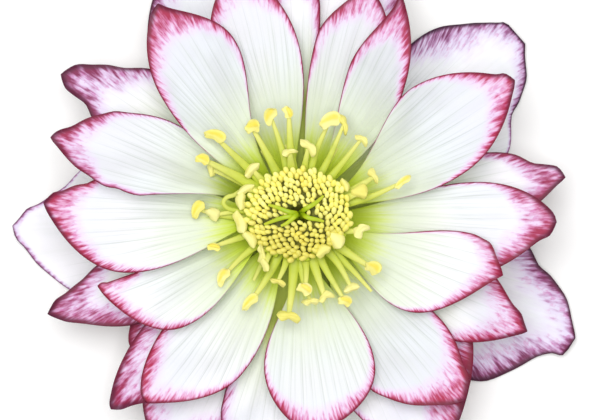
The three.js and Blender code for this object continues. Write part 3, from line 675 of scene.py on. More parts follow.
receptacle_paint, paint = new_material("stalk_green")
place = paint.object_place()
in_plan = place.vector_math("SUBTRACT", Vector(AXIS_IN_PLAN) * MM).vector_math("MULTIPLY", (1, 1, 0))
from_axis = in_plan.vector_math("LENGTH", output="Value") / MM
height = place.part(2) / MM
clouds = paint.noise(place, scale=350.0)
speckle = paint.noise(place, scale=2600.0)
ridges = paint.noise(place.vector_math("MULTIPLY", (1, 1, 0.05)), scale=1500.0)
skin = paint.blend(STALK_GREEN, STALK_PALE, clouds.step(0.35, 0.65))
yellow_ridges = ridges.step(0.45, 0.6) * height.step(4.0, 7.0) * 0.8
skin = paint.blend(skin, RIDGE_YELLOW, yellow_ridges)
red_specks = speckle.step(0.60, 0.70) * (1 - height.step(3.0, 6.0)) * 0.6
skin = paint.blend(skin, SPECK_RED, red_specks)
pith = paint.blend(PITH_CREAM, PITH_GREEN, from_axis.step(0.75, PITH_RADIUS))
cut = (1 - height.step(CUT_HEIGHT, CUT_HEIGHT + 0.14)) * (1 - from_axis.step(PITH_RADIUS, 1.45))
skin = paint.blend(skin, pith, cut)
relief = clouds + speckle * 0.5 + ridges * 2.0
finish_material(receptacle_paint, skin, 0.5 + clouds * 0.15, relief, RECEPTACLE_RELIEF)
stalk = turned("receptacle_stalk", RECEPTACLE, RECEPTACLE_SIDES, ribbed)
seat("receptacle_stalk", stalk, receptacle_paint, "receptacle", "receptacle")

# --------------------------------------------------------------------------------- unopened anthers
# The boss in the middle of the bloom: a bed of packed filaments, oval and domed, and on it some 250
# unopened anthers like grains of rice, set in spirals, each with a groove between its two lobes.

BED_HALF_LENGTH = 6.5
BED_HALF_WIDTH = 5.4
BED_LIP = 15.06  # height where the bed clears the petals
BED_TOP = 18.66
DOME_DROP = 2.0
DOME_POWER = 2.4  # above 1, the dome is flatter in the middle than at its rim
DOME_RINGS = 0.98, 0.9, 0.8, 0.7, 0.6, 0.5, 0.4, 0.32
STEM_RADIUS = 3.5
STEM_FOOT = 13.99  # just above the receptacle
WELL_RADIUS = 1.2  # of the hollow that the styles come out of
WELL_DEPTH = 2.8
BED_SIDES = 48
BED_RELIEF = 0.15
# The bed's dark olive is partly its filaments' own green, partly painted shade for the gaps between the
# anthers.
BED_SHADE_OLIVE, BED_LIGHT = colour(84, 88, 18), colour(128, 124, 34)
BOSS_HALF_LENGTH = 6.95  # the anthers on the rim stand a little outside the bed
BOSS_HALF_WIDTH = 6.05
BOSS_SHIFT = Vector((0.1, 0.3, 0))  # the bloom's axis to the middle of the boss
ANTHERS = 252
ANTHER_HALF_WIDTH = 0.345
ANTHER_HALF_LENGTH = 0.48
ANTHER_RINGS, ANTHER_SIDES = 6, 9
ANTHER_DEPTH = 0.88  # from front to back, for 1 of its width
ANTHER_GROOVE = 0.72  # its girth at the groove, for 1 elsewhere
ANTHER_BLUNTNESS = 0.8  # below 1, its ends are blunter than those of an egg
ANTHER_RISE = 0.25  # of an anther's middle over the dome
ANTHER_SIZES = 0.92, 1.12  # the smallest and the largest, for 1 of the sizes above
ANTHER_CLEARANCE = 0.32  # between the middle of an anther and a style
ANTHER_SPLAY = 90.0, 100.0, 0.0  # how far the anthers lean outwards, for each metre from the axis
ANTHER_LEANS = (-0.85, 0.1, 0.2), (0.0, 0.85, 0.65)  # between these each leans its own way
ANTHER_SEED = 4
ANTHER_RELIEF = 0.04
POLLEN_LIGHT, POLLEN_YELLOW = colour(254, 250, 150), colour(249, 240, 112)
# Painted shade: the darker yellow of the anthers on the southern half of the boss.
POLLEN_SHADED_SOUTH = colour(232, 222, 104)
POLLEN_PATCH = colour(247, 228, 88)
POLLEN_GRAIN = colour(232, 218, 108)
JITTER = Vector((0.15, 0.15, 0.2))  # how far an anther may stray from its spiral
FREE_MIDDLE = 0.03  # the share of the boss that has no anthers, in its middle
MIDDLE_SIZE, RIM_GROWTH = 0.95, 0.3  # size of the anthers in the middle, and how much more at the rim
GOLDEN_ANGLE = math.pi * (3 - math.sqrt(5))
FULL_TURN = 6.28
# The styles of the carpels, which lie over the boss: direction in degrees and reach of each end.
STYLES = [[161, 4.2], [39, 4.3], [193, 4.6], [-14, 3.5], [209, 2.6]]
STYLE_FOOT = Vector((0.35, 0.3, 0))


def dome(ring):
    """Height of the dome, from 0 in its middle to 1 at its rim."""
    return BED_TOP - DOME_DROP * ring ** DOME_POWER


def oval(r, z, turn):
    """Round on the stem and in the well, and drawn out to an oval on the rest of the bed."""
    drawn_out = r > STEM_RADIUS + 0.1 or z > BED_LIP + 1 and r > WELL_RADIUS + 0.1
    stretch = BED_HALF_LENGTH / BED_HALF_WIDTH if drawn_out else 1
    return r * stretch * math.cos(turn), r * math.sin(turn), z


BED = [  # radius and height of its outline: stem, lip, dome and well
    [0.0, STEM_FOOT], [STEM_RADIUS, STEM_FOOT], [STEM_RADIUS, BED_LIP],
    [BED_HALF_WIDTH - 0.5, BED_LIP], [BED_HALF_WIDTH - 0.1, BED_LIP + 0.5],
    *([BED_HALF_WIDTH * ring, dome(ring) - 0.15] for ring in DOME_RINGS),
    [WELL_RADIUS + 0.2, BED_TOP - 0.5], [WELL_RADIUS, BED_TOP - 1.0],
    [WELL_RADIUS - 0.3, BED_TOP - WELL_DEPTH + 0.2], [0.0, BED_TOP - WELL_DEPTH],
]

# Painted shade: the bed is dark, so that the gaps between the anthers show dark.
bed_paint, paint = new_material("filament_bed_shaded_olive")
fibres = paint.noise(paint.object_place(), scale=1500.0)
bed_colour = paint.blend(BED_SHADE_OLIVE, BED_LIGHT, fibres.step(0.35, 0.7))
finish_material(bed_paint, bed_colour, 0.65 + fibres * 0.1, fibres, BED_RELIEF)
seat("filament_bed", turned("filament_bed", BED, BED_SIDES, oval), bed_paint, "stamens", "stamens")


def new_tree(name, **inputs):
    """A Geometry Nodes tree with named inputs. Gives the tree as a Wire, its inputs and its output."""
    tree = bpy.data.node_groups.new(name, "GeometryNodeTree")
    tree.interface.new_socket("Geometry", in_out="OUTPUT", socket_type="NodeSocketGeometry")
    for label, kind in {"Geometry": "Geometry", **inputs}.items():
        tree.interface.new_socket(label, in_out="INPUT", socket_type="NodeSocket" + kind)
    start, end = tree.nodes.new("NodeGroupInput"), tree.nodes.new("NodeGroupOutput")
    return Wire(tree), {socket.name: Wire(tree, socket) for socket in start.outputs if socket.name}, end


def end_tree(tree, end, geometry, material):
    whole = tree.node("GeometryNodeRealizeInstances", {}, {0: geometry})
    painted = tree.node("GeometryNodeSetMaterial", {}, {"Geometry": whole, "Material": material})
    tree.tree.links.new(painted.socket, end.inputs[0])


def grow(name, guide, tree, **inputs):
    """Runs a tree on a guide mesh with its inputs set, and gives the result as a plain mesh."""
    holder = bpy.data.objects.new(name + "_guide", guide)
    bpy.context.scene.collection.objects.link(holder)
    modifier = holder.modifiers.new("grow", "NODES")
    modifier.node_group = tree.tree
    for item in tree.tree.interface.items_tree:
        if item.in_out == "INPUT" and item.name in inputs:
            modifier[item.identifier] = inputs[item.name]
    mesh = bpy.data.meshes.new_from_object(holder.evaluated_get(bpy.context.evaluated_depsgraph_get()))
    mesh.name = name
    mesh.transform(Matrix.Translation(Vector(AXIS_IN_PLAN) * MM))
    mesh.polygons.foreach_set("use_smooth", [True] * len(mesh.polygons))
    bpy.data.objects.remove(holder)
    return mesh


def grain(name):
    """An unopened anther: a grain that stands on its end, with a groove down one side."""
    points = [(0, 0, -ANTHER_HALF_LENGTH)]
    for ring in range(1, ANTHER_RINGS):
        tilt = math.pi * ring / ANTHER_RINGS
        for side in range(ANTHER_SIDES):
            turn = 2 * math.pi * side / ANTHER_SIDES
            girth = ANTHER_HALF_WIDTH * math.sin(tilt) ** ANTHER_BLUNTNESS
            girth *= ANTHER_GROOVE if side == 0 else 1
            x, y = girth * math.cos(turn), ANTHER_DEPTH * girth * math.sin(turn)
            points.append((x, y, -ANTHER_HALF_LENGTH * math.cos(tilt)))
    points.append((0, 0, ANTHER_HALF_LENGTH))
    return new_mesh(name, points, [], ring_faces(ANTHER_RINGS - 1, ANTHER_SIDES))


def style_lines():
    """The styles in plan, which the anthers keep clear of."""
    points = []
    for direction, reach in STYLES:
        cos, sin = heading(direction)
        points += [(*STYLE_FOOT,), (reach * cos, reach * sin, 0)]
    return new_mesh("style_lines", points, [(n, n + 1) for n in range(0, len(points), 2)], [])


def store(tree, points, label, value):
    """Lets each point carry a number."""
    return tree.node("GeometryNodeStoreNamedAttribute", {"data_type": "FLOAT", "domain": "POINT"}, {
        "Geometry": points, "Name": label, "Value": value,
    })


def stored(tree, label):
    return tree.node("GeometryNodeInputNamedAttribute", {"data_type": "FLOAT"}, {"Name": label})


def at_random(tree, seed, low=0.0, high=1.0):
    """A number between low and high, or a vector where they are vectors, different for each point."""
    if isinstance(low, (tuple, Vector)):
        kind, first, output = "FLOAT_VECTOR", 0, 0
    else:
        kind, first, output = "FLOAT", 2, 1
    sockets = {first: low, first + 1: high, "Seed": seed}
    return tree.node("FunctionNodeRandomValue", {"data_type": kind}, sockets, output)


def plant(tree, points, model, rotation, scale):
    """Sets a copy of an object on each point."""
    return tree.node("GeometryNodeInstanceOnPoints", {}, {
        "Points": points, "Rotation": rotation, "Scale": scale,
        "Instance": tree.node("GeometryNodeObjectInfo", {}, {"Object": model}, "Geometry"),
    })


tree, given, end = new_tree(
    "plant_anthers", Anther="Object", Count="Int", HalfLength="Float", HalfWidth="Float", Top="Float",
    Drop="Float", Clearance="Float", Smallest="Float", Largest="Float", Seed="Int",
    Material="Material",
)
index = tree.node("GeometryNodeInputIndex", {}, {})
ring = ((index + 0.5) / given["Count"] * (1 - FREE_MIDDLE) + FREE_MIDDLE).math("POWER", 0.5)
turn = index * GOLDEN_ANGLE
jitter = at_random(tree, given["Seed"], (BOSS_SHIFT - JITTER) * MM, (BOSS_SHIFT + JITTER) * MM)
spot = tree.vector(
    ring * given["HalfLength"] * turn.math("COSINE"), ring * given["HalfWidth"] * turn.math("SINE"), 0.0,
).vector_math("ADD", jitter)
points = tree.node("GeometryNodePoints", {}, {"Count": given["Count"], "Position": spot})
beside = tree.node("GeometryNodeProximity", {"target_element": "EDGES"}, {
    "Geometry": given["Geometry"], "Sample Position": spot.vector_math("MULTIPLY", (1, 1, 0)),
}, "Distance")
points = store(tree, points, "ring", ring)
points = store(tree, points, "tint", at_random(tree, given["Seed"] + 1))
points = store(tree, points, "beside", beside)
points = tree.node("GeometryNodeDeleteGeometry", {"domain": "POINT"}, {
    "Geometry": points, "Selection": stored(tree, "beside").math("LESS_THAN", given["Clearance"]),
})
drop = given["Drop"] * stored(tree, "ring").math("POWER", DOME_POWER)
points = tree.node("GeometryNodeSetPosition", {}, {
    "Geometry": points, "Offset": tree.vector(0.0, 0.0, given["Top"] - drop),
})
outward = tree.node("GeometryNodeInputPosition", {}, {}).vector_math("MULTIPLY", ANTHER_SPLAY)
lean = outward.vector_math("ADD", at_random(tree, given["Seed"] + 2, *ANTHER_LEANS))
stand = tree.node("FunctionNodeAlignRotationToVector", {"axis": "Z"}, {"Vector": lean})
spin = tree.vector(0.0, 0.0, at_random(tree, given["Seed"] + 3, 0.0, FULL_TURN))
stand = tree.node("FunctionNodeRotateRotation", {"rotation_space": "LOCAL"}, {
    0: stand, 1: tree.node("FunctionNodeEulerToRotation", {}, {0: spin}),
})
size = at_random(tree, given["Seed"] + 4, given["Smallest"], given["Largest"])
size = size * (stored(tree, "ring").math("POWER", 3.0) * RIM_GROWTH + MIDDLE_SIZE)
end_tree(tree, end, plant(tree, points, given["Anther"], stand, size), given["Material"])

anther_paint, paint = new_material("anther_yellow")
place = paint.object_place()
tint = paint.carried("tint")
fine = paint.noise(place, scale=3000.0)
patch = paint.noise(place, scale=260.0)
pollen = paint.blend(POLLEN_LIGHT, POLLEN_YELLOW, tint)
northward = place.part(1) / MM + tint * 3.0  # painted shade: the southern half of the boss is darker, mixed between
pollen = paint.blend(pollen, POLLEN_SHADED_SOUTH, 1 - northward.step(AXIS.y - 2.5, AXIS.y + 2.5))
pollen = paint.blend(pollen, POLLEN_PATCH, patch.step(0.54, 0.72) * 0.5)
pollen = paint.blend(pollen, POLLEN_GRAIN, fine.step(0.5, 0.8) * 0.25)
finish_material(anther_paint, pollen, 0.5 + fine * 0.15, fine, ANTHER_RELIEF)

anther_shape = bpy.data.objects.new("anther_shape", grain("anther_shape"))
boss = grow(
    "unopened_anthers", style_lines(), tree, Anther=anther_shape, Count=ANTHERS, Seed=ANTHER_SEED,
    HalfLength=BOSS_HALF_LENGTH * MM, HalfWidth=BOSS_HALF_WIDTH * MM, Top=(BED_TOP + ANTHER_RISE) * MM,
    Drop=DOME_DROP * MM, Clearance=ANTHER_CLEARANCE * MM, Smallest=ANTHER_SIZES[0],
    Largest=ANTHER_SIZES[1], Material=anther_paint,
)
seat("unopened_anthers", boss, anther_paint, "stamens", "stamens")
bpy.data.objects.remove(anther_shape)

# ----------------------------------------------------------------------------------- opened stamens
# Round the boss some forty stamens have opened. Each has a flat strap-like filament, green at its root,
# that leans out over the petals, and an anther that has split and curled open along its two lobes.
# A row: direction in degrees and reach of the anther, the direction of its long side, its length and
# width, and its form, one of FORMS.

OPENED = [
    [136.3, 15.3, -25, 3.0, 1.7, "gaping"], [149.3, 14.7, -30, 1.9, 1.5, "cupped"],
    [151.5, 13.1, 80, 2.2, 1.1, "folded"], [117.5, 13.3, 0, 2.1, 1.9, "cupped"],
    [105.3, 13.9, 50, 2.4, 1.7, "gaping"], [95.0, 13.9, -75, 1.7, 1.4, "cupped"],
    [97.3, 8.5, 10, 2.2, 1.0, "twisted"], [134.5, 8.7, 40, 2.6, 1.2, "folded"],
    [81.4, 9.4, -45, 2.9, 1.5, "twisted"], [71.5, 13.3, 12, 3.1, 2.1, "gaping"],
    [63.5, 13.6, -75, 2.9, 1.1, "twisted"], [50.6, 13.3, -35, 2.1, 1.2, "twisted"],
    [27.5, 11.3, -60, 2.3, 1.1, "twisted"], [18.0, 14.6, 32, 2.7, 1.0, "gaping"],
    [21.0, 8.7, -20, 2.2, 1.9, "folded"], [33.5, 7.5, -70, 1.9, 0.9, "folded"],
    [176.3, 13.3, 50, 2.5, 1.6, "gaping"], [179.5, 11.3, -60, 2.0, 1.6, "folded"],
    [199.8, 11.8, -15, 1.8, 1.1, "cupped"], [219.0, 12.7, 50, 2.6, 1.5, "gaping"],
    [241.0, 13.2, 38, 2.9, 1.4, "gaping"], [252.8, 9.1, -20, 2.3, 0.9, "twisted"],
    [264.7, 13.4, -12, 3.3, 1.6, "twisted"], [276.0, 9.6, -45, 2.0, 1.8, "cupped"],
    [278.5, 11.5, 5, 2.4, 1.1, "twisted"], [288.3, 11.2, 30, 2.2, 1.5, "twisted"],
    [299.0, 12.8, -30, 1.9, 1.5, "cupped"], [306.5, 12.0, 15, 2.2, 1.1, "folded"],
    [325.0, 12.0, -45, 2.2, 2.0, "gaping"], [347.0, 8.6, 35, 2.4, 1.8, "twisted"],
    [328.0, 5.9, -60, 2.6, 1.9, "folded"], [305.6, 5.7, 28, 2.1, 1.4, "folded"],
    [165.4, 7.8, 80, 2.3, 1.3, "folded"], [185.5, 7.6, -75, 3.2, 1.5, "folded"],
    [206.0, 7.2, -60, 2.6, 1.3, "folded"], [226.0, 6.9, -85, 2.8, 1.2, "twisted"],
    [236.5, 7.7, -70, 1.9, 0.9, "folded"], [152.6, 7.8, 25, 2.6, 1.1, "folded"],
]
# Forms of an opened anther: how far it is waisted, how high its rim stands, how it is twisted, the
# height of the ridge between its lobes, how it is skewed, and how much yellow pollen shows.
FORMS = {
    "cupped": [0.15, 0.45, 0.1, 0.25, 0.10, 1.0],
    "gaping": [0.10, 0.35, 0.5, 0.12, 0.30, 0.85],
    "twisted": [0.45, -0.30, 1.0, -0.22, -0.25, 0.25],
    "folded": [-0.05, -0.55, 0.2, -0.14, 0.15, 0.0],
}
FILAMENT_ROOT = 4.2  # the axis to the root of a filament
FILAMENT_STEPS = 9
FILAMENT_SIDES = 10
FILAMENT_HALF_WIDTHS = [0.9, 0.62, 0.26]  # at the root, a third of the way and under the anther
FILAMENT_FLATNESS = 0.36
FILAMENT_GIRTHS = 0.72, 1.15  # the slightest and the stoutest, for 1 of those widths
FILAMENT_START = BED_LIP + 0.4  # height of its root
FILAMENT_GAP = 0.12  # between a filament and the petal under it
FILAMENT_BEND = 0.7  # how far it may bend to a side
FILAMENT_SETTLINGS = 3
FILAMENT_RELIEF = 0.08
ROOT_GREEN, MIDDLE_GREEN = colour(180, 197, 38), colour(196, 207, 66)
TIP_CREAM = colour(226, 225, 122)
CLOUD_GREEN = colour(164, 184, 44)
BARE = [  # filaments that have lost their anther: direction and reach
    [314.3, 14.0], [235.5, 10.4], [243.0, 11.0], [100.0, 9.6], [60.0, 10.4], [119.0, 10.0],
]
BARE_GIRTH = 0.75
BARE_DROP = 0.3  # their tips end this far below the lip of the bed, or on a petal
OPENED_LIFT = 0.75  # height of an opened anther over the petals round it
OPENED_LIFT_MORE = 0.5  # and up to this much more
OPENED_SPAN = -0.9, 0, 0.9  # the steps, both ways, at which it is held clear of the petals
OPENED_DROP = 0.25  # from the middle of an anther to the tip of its filament
# Height over the lip of the bed that it has at least, at these distances from the axis.
OPENED_REACHES, OPENED_LEAST = [5.7, 6.7, 9.9, 10.0], [3.0, 2.1, 2.1, 1.0]
OPENED_SEED = 11
FORM_SEED = 6
OPENED_STEPS = 12, 10  # along an anther and across it
OPENED_THICKNESS = 0.26
OPENED_TILT = 0.4  # how far it may lean, as an angle
OPENED_RELIEF = 0.06
LOBE_CREAM, LOBE_YELLOW = colour(246, 241, 158), colour(238, 230, 118)
LOBE_PATCH = colour(230, 218, 96)
OPEN_POLLEN = colour(244, 222, 70)
RIM_FILAMENTS = 30  # those of the anthers on the rim of the boss, which arch out from under it
RIM_PLACES = 0.15, 0.85  # where one may stand in its own share of the turn
RIM_REACHES = 5.5, 5.9  # between these lies the furthest point of each
RIM_START = [FILAMENT_ROOT, BED_LIP + 0.35, 0.55]  # radius, height and half width of its root
RIM_OVAL_FROM = 5.0  # distance from the axis where they start to follow the oval of the bed
RIM_COLOUR_STEPS = 40  # from green to cream, of which they have only the first few
# Their arch: distance past that furthest point, height over the lip of the bed, and half width.
RIM_ARCH = [[-0.8, 0.5, 0.55], [0.0, 1.0, 0.45], [-0.1, 1.7, 0.35], [-0.9, 1.9, 0.3]]
OVAL = BED_HALF_LENGTH / BED_HALF_WIDTH
# One filament has curled back into a ring beside the boss.
LOOP = [[-5.6, 0.5], [-8.1, 0.7], [-9.4, 1.1], [-9.9, 1.8], [-9.4, 2.5], [-8.4, 2.8], [-7.4, 3.5]]
LOOP_STEPS = 25
LOOP_HALF_WIDTH = 0.3
LOOP_HEIGHT, LOOP_RISE = BED_LIP + 1.2, 0.6  # of its ends, and how much higher its middle is
LOOP_COLOURS = 0.4, 0.4  # at its root, from 0 for green to 1 for cream, and how much more at its tip

corners, sides = [], []
for blade in [piece for piece in bpy.data.objects if piece.name.endswith("_leaf")]:
    first = len(corners)
    corners += [vertex.co / MM - Vector(AXIS_IN_PLAN) for vertex in blade.data.vertices]
    sides += [[first + corner for corner in polygon.vertices] for polygon in blade.data.polygons]
petals = BVHTree.FromPolygons(corners, sides)


def petal_height(x, y):
    """Height of the highest petal over a plan point."""
    hit = petals.ray_cast(Vector((x, y, 60)), Vector((0, 0, -1)))[0]
    return hit.z if hit else 0.0


def filament(direction, reach, end_height, bend, girth):
    """Path of one filament, as [x, y, z, half width, how far along], over whatever petal is under it."""
    cos, sin = heading(direction)
    path = []
    for step in range(FILAMENT_STEPS + 1):
        f = step / FILAMENT_STEPS
        r = FILAMENT_ROOT + (reach - FILAMENT_ROOT) * f
        w = bend * math.sin(math.pi * f) * (1 - 0.3 * f)
        x, y = r * cos - w * sin, r * sin + w * cos
        half = girth * float(np.interp(f, [0, 0.35, 1], FILAMENT_HALF_WIDTHS))
        low = petal_height(x, y) + half * FILAMENT_FLATNESS + FILAMENT_GAP
        path.append([x, y, max(low, FILAMENT_START + (end_height - FILAMENT_START) * f), half, f])
    for _ in range(FILAMENT_SETTLINGS):  # makes the path one smooth arch over the petals
        for n in range(1, FILAMENT_STEPS):
            path[n][2] = max(path[n][2], (path[n - 1][2] + path[n + 1][2]) / 2)
    return path


def rim_filament(turn, out):
    """Path of a short filament that arches out from under the boss and back up to it."""
    arch = [RIM_START, *([out + past, BED_LIP + rise, half] for past, rise, half in RIM_ARCH)]
    steps = np.linspace(0, len(arch) - 1, FILAMENT_STEPS + 1)
    path = []
    for step, (r, z, half) in enumerate(smooth_through(steps, len(arch)) @ np.array(arch)):
        stretch = OVAL if r > RIM_OVAL_FROM else 1
        path.append([
            r * math.cos(turn) * stretch, r * math.sin(turn), z, half, step / RIM_COLOUR_STEPS
        ])
    return path


random = np.random.default_rng(OPENED_SEED)
paths, anthers = [], []
for direction, reach, facing, length, width, form in OPENED:
    cos, sin = heading(direction)
    x, y = reach * cos, reach * sin
    highest = max(petal_height(x + dx, y + dy) for dx in OPENED_SPAN for dy in OPENED_SPAN)
    lowest = BED_LIP + float(np.interp(reach, OPENED_REACHES, OPENED_LEAST))
    height = max(highest + OPENED_LIFT, lowest) + random.uniform(0, OPENED_LIFT_MORE)
    bend = random.uniform(-FILAMENT_BEND, FILAMENT_BEND)
    paths.append(filament(direction, reach, height - OPENED_DROP, bend, random.uniform(*FILAMENT_GIRTHS)))
    anthers.append([x, y, height, facing, length, width, form])
for direction, reach in BARE:
    bend = random.uniform(-FILAMENT_BEND, FILAMENT_BEND)
    paths.append(filament(direction, reach, BED_LIP - BARE_DROP, bend, BARE_GIRTH))
for n in range(RIM_FILAMENTS):
    turn = math.radians(360 * (n + random.uniform(*RIM_PLACES)) / RIM_FILAMENTS)
    paths.append(rim_filament(turn, random.uniform(*RIM_REACHES)))
loop = []
turns = smooth_through(np.linspace(0, len(LOOP) - 1, LOOP_STEPS + 1), len(LOOP)) @ np.array(LOOP)
for f, (x, y) in zip(np.linspace(0, 1, LOOP_STEPS + 1), turns):
    z = LOOP_HEIGHT + LOOP_RISE * math.sin(math.pi * f)
    loop.append([x, y, z, LOOP_HALF_WIDTH, LOOP_COLOURS[0] + LOOP_COLOURS[1] * f])
paths.append(loop)


def paths_guide(name, paths):
    """A mesh of lines, one for each path, whose points carry the half width and how far along they are."""
    edges, first = [], 0
    for path in paths:
        edges += [(first + n, first + n + 1) for n in range(len(path) - 1)]
        first += len(path)
    nodes = np.array([node for path in paths for node in path], dtype=float)
    return new_mesh(name, nodes[:, :3], edges, [], girth=nodes[:, 3] * MM, reach=nodes[:, 4])


draw_tree, given, end = new_tree("draw_filaments", Sides="Int", Flatness="Float", Material="Material")
curve = draw_tree.node("GeometryNodeMeshToCurve", {}, {"Mesh": given["Geometry"]})
curve = draw_tree.node("GeometryNodeSetCurveNormal", {"mode": "Z_UP"}, {"Curve": curve})
outline = draw_tree.node("GeometryNodeCurvePrimitiveCircle", {"mode": "RADIUS"}, {
    "Resolution": given["Sides"], "Radius": 1.0,
})
outline = draw_tree.node("GeometryNodeTransform", {}, {
    "Geometry": outline, "Scale": draw_tree.vector(1.0, given["Flatness"], 1.0),
})
tube = draw_tree.node("GeometryNodeCurveToMesh", {}, {
    "Curve": curve, "Profile Curve": outline, "Scale": stored(draw_tree, "girth"), "Fill Caps": True,
})
end_tree(draw_tree, end, tube, given["Material"])

filament_paint, paint = new_material("filament_green_to_cream")
along = paint.carried("reach")
clouds = paint.noise(paint.object_place(), scale=500.0)
strap = paint.blend(ROOT_GREEN, MIDDLE_GREEN, along.step(0.05, 0.45))
strap = paint.blend(strap, TIP_CREAM, along.step(0.4, 1.0))
strap = paint.blend(strap, CLOUD_GREEN, clouds.step(0.5, 0.75) * 0.35)
finish_material(filament_paint, strap, 0.45 + clouds * 0.15, clouds, FILAMENT_RELIEF)
straps = grow(
    "filaments", paths_guide("filament_paths", paths), draw_tree, Sides=FILAMENT_SIDES,
    Flatness=FILAMENT_FLATNESS, Material=filament_paint,
)
seat("filaments", straps, filament_paint, "stamens", "stamens")


def open_anther(name, waist, rim, twist, ridge, skew, pollen):
    """An opened anther of length and width 1, as a closed cushion: x runs along it, and y across its two
    lobes. It carries "pollen", which says where its yellow inside shows."""
    along, beside = OPENED_STEPS
    points, shown = [], []
    for top in (1, -1):
        for i in range(along + 1):
            for j in range(beside + 1):
                # From -1 to 1 along the anther, and across it.
                u, v = math.sin(math.pi / 2 * (2 * i / along - 1)), 2 * j / beside - 1
                full = (1 - 0.85 * u ** 4) ** 0.5
                broad = full * (1 - waist * (1 - abs(u)) ** 1.5) * (1 + 0.12 * math.sin(3 * u + 2 * v))
                y = 0.5 * v * broad + 0.07 * math.sin(2.5 * u + 1)
                x = 0.5 * u * (1 - 0.12 * v * v) + skew * y * 0.6
                lobe = rim * v * v + 0.12 * rim * u * u + twist * u * v * 0.5
                lobe += ridge * math.exp(-((v / 0.22) ** 2)) * (1 - u * u)
                thick = OPENED_THICKNESS * (1 - 0.7 * v * v) * (1 - 0.6 * u * u)
                points.append((x, y, lobe + top * thick))
                inside = math.exp(-(((v - 0.25) / 0.5) ** 2)) * (1 - u ** 4)
                shown.append(pollen * inside if top > 0 else 0)
    return new_mesh(name, points, [], shell_faces(along, beside), pollen=shown)


tree, given, end = new_tree(
    "top_filaments", Anther="Object", Thickness="Float", Seed="Int", Material="Material"
)
points = tree.node("GeometryNodeMeshToPoints", {}, {"Mesh": given["Geometry"]})
points = store(tree, points, "tint", at_random(tree, given["Seed"]))
tilts = (-OPENED_TILT, -OPENED_TILT, 0.0), (OPENED_TILT, OPENED_TILT, 0.0)
facing = tree.vector(0.0, 0.0, stored(tree, "facing"))
facing = at_random(tree, given["Seed"] + 1, *tilts).vector_math("ADD", facing)
stand = tree.node("FunctionNodeEulerToRotation", {}, {0: facing})
size = tree.vector(stored(tree, "length"), stored(tree, "width"), given["Thickness"])
end_tree(tree, end, plant(tree, points, given["Anther"], stand, size), given["Material"])

opened_paint, paint = new_material("opened_anther_cream")
place = paint.object_place()
pollen, tint = paint.carried("pollen"), paint.carried("tint")
fine = paint.noise(place, scale=2500.0)
patch = paint.noise(place, scale=500.0)
lobe = paint.blend(LOBE_CREAM, LOBE_YELLOW, tint)
lobe = paint.blend(lobe, LOBE_PATCH, patch.step(0.5, 0.75) * 0.6)
lobe = paint.blend(lobe, OPEN_POLLEN, pollen.step(0.2, 0.85) * (fine * 0.5 + 0.55))
finish_material(opened_paint, lobe, 0.5 + fine * 0.2, fine, OPENED_RELIEF)
for n, (form, figures) in enumerate(FORMS.items(), FORM_SEED):
    chosen = [anther for anther in anthers if anther[6] == form]
    places = new_mesh(
        f"{form}_places", [anther[:3] for anther in chosen], [], [],
        facing=[math.radians(anther[3]) for anther in chosen],
        length=[anther[4] for anther in chosen], width=[anther[5] for anther in chosen],
    )
    model = bpy.data.objects.new(f"{form}_shape", open_anther(form, *figures))
    name = f"{form}_anthers"
    mesh = grow(name, places, tree, Anther=model, Thickness=1.0, Seed=n, Material=opened_paint)
    seat(name, mesh, opened_paint, "stamens", "stamens")
    bpy.data.objects.remove(model)

# ---------------------------------------------------------------------------------------------- carpels
# The seed pods at the heart of the bloom, joined at the foot. Each narrows to a bright green style that
# bends out over the boss and ends in a slightly paler tip.

CARPEL_OFFSET = 0.55  # the axis to the middle of a carpel
CARPEL = [[13.99, 0.6], [15.5, 0.62], [17.2, 0.55]]  # heights and half widths, from its foot up
STYLE_START = 18.2  # height where a carpel narrows to its style
STYLE_STEPS = 12
STYLE_SIDES = 10
STYLE_HALF_WIDTH = 0.32
STYLE_FLATNESS = 0.55
STYLE_LIFT = 1.05  # of its middle line over the bed
STYLE_WAVE = 0.12  # how far it winds to each side
STYLE_RELIEF = 0.05
STYLE_GREEN, STYLE_LIGHT = colour(162, 190, 10), colour(184, 202, 24)
STYLE_TIP = colour(198, 204, 46)
BED_REACH = 5.9  # the axis to the rim of the bed

style_paths = []
for n, (direction, reach) in enumerate(STYLES):
    cos, sin = heading(direction)
    tip = Vector((reach * cos, reach * sin, 0))
    path = [[CARPEL_OFFSET * cos, CARPEL_OFFSET * sin, z, half, 0] for z, half in CARPEL]
    for step in range(STYLE_STEPS + 1):
        f = step / STYLE_STEPS
        spot = STYLE_FOOT.lerp(tip, 0.1 + 0.9 * f ** 1.3)
        w = STYLE_WAVE * math.sin(5 * f + n)
        bent = 1 - (1 - min(f / 0.4, 1)) ** 2
        over_bed = dome(min(spot.length / BED_REACH, 1)) + STYLE_LIFT
        z = STYLE_START + (over_bed - STYLE_START) * bent
        path.append([spot.x - w * sin, spot.y + w * cos, z, STYLE_HALF_WIDTH * (1 - 0.5 * f ** 3), f])
    style_paths.append(path)

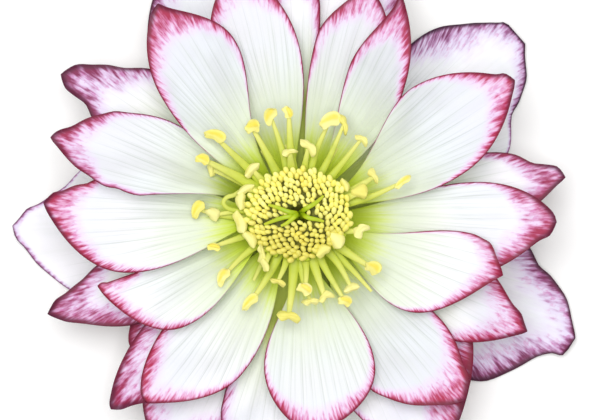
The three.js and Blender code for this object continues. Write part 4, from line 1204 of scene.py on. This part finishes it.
style_paint, paint = new_material("style_bright_green")
clouds = paint.noise(paint.object_place(), scale=900.0)
green = paint.blend(STYLE_GREEN, STYLE_LIGHT, clouds.step(0.35, 0.65))
green = paint.blend(green, STYLE_TIP, paint.carried("reach").step(0.5, 1.0) * 0.7)
finish_material(style_paint, green, 0.4 + clouds * 0.15, clouds, STYLE_RELIEF)
styles = grow(
    "styles", paths_guide("style_paths", style_paths), draw_tree, Sides=STYLE_SIDES,
    Flatness=STYLE_FLATNESS, Material=style_paint,
)
seat("styles", styles, style_paint, "carpels", "carpels")

# ------------------------------------------------------------------------------------- table and light
# A plain near-white table under a large soft lamp. The room round it is white and bright, and lights
# the bloom from all sides, so that the shadows between the leaves stay faint.

TABLE_HALF_WIDTH = 3000.0
TABLE_RELIEF = 0.01
TABLE_WHITE, TABLE_SHADE = colour(252, 252, 252), colour(249, 249, 249)
LAMP_PLACE = Vector((-0.1, 0.16, 1.15))  # in metres, as its size is
LAMP_SIZE = 0.9
LAMP_WATTS = 10.3
ROOM_BRIGHTNESS = 0.54

corners = [
    (x * TABLE_HALF_WIDTH, y * TABLE_HALF_WIDTH, 0) for x, y in ((-1, -1), (1, -1), (1, 1), (-1, 1))
]
table = bpy.data.objects.new("table", new_mesh("table", corners, [], [(0, 1, 2, 3)]))
bpy.context.scene.collection.objects.link(table)
table_paint, paint = new_material("table_white")
mottle = paint.noise(paint.object_place(), scale=40.0)
table_colour = paint.blend(TABLE_WHITE, TABLE_SHADE, mottle)
finish_material(table_paint, table_colour, mottle * 0.1 + 0.7, mottle, TABLE_RELIEF)
table.data.materials.append(table_paint)

lamp_data = bpy.data.lights.new("lamp", "AREA")
lamp_data.shape = "DISK"
lamp_data.size = LAMP_SIZE
lamp_data.energy = LAMP_WATTS
lamp = bpy.data.objects.new("lamp", lamp_data)
lamp.location = LAMP_PLACE
lamp.rotation_euler = (-LAMP_PLACE).to_track_quat("-Z", "Y").to_euler()
bpy.context.scene.collection.objects.link(lamp)

room = bpy.data.worlds.new("room")
room.use_nodes = True
background = room.node_tree.nodes["Background"].inputs
background["Color"].default_value = (1, 1, 1, 1)
background["Strength"].default_value = ROOM_BRIGHTNESS
bpy.context.scene.world = room
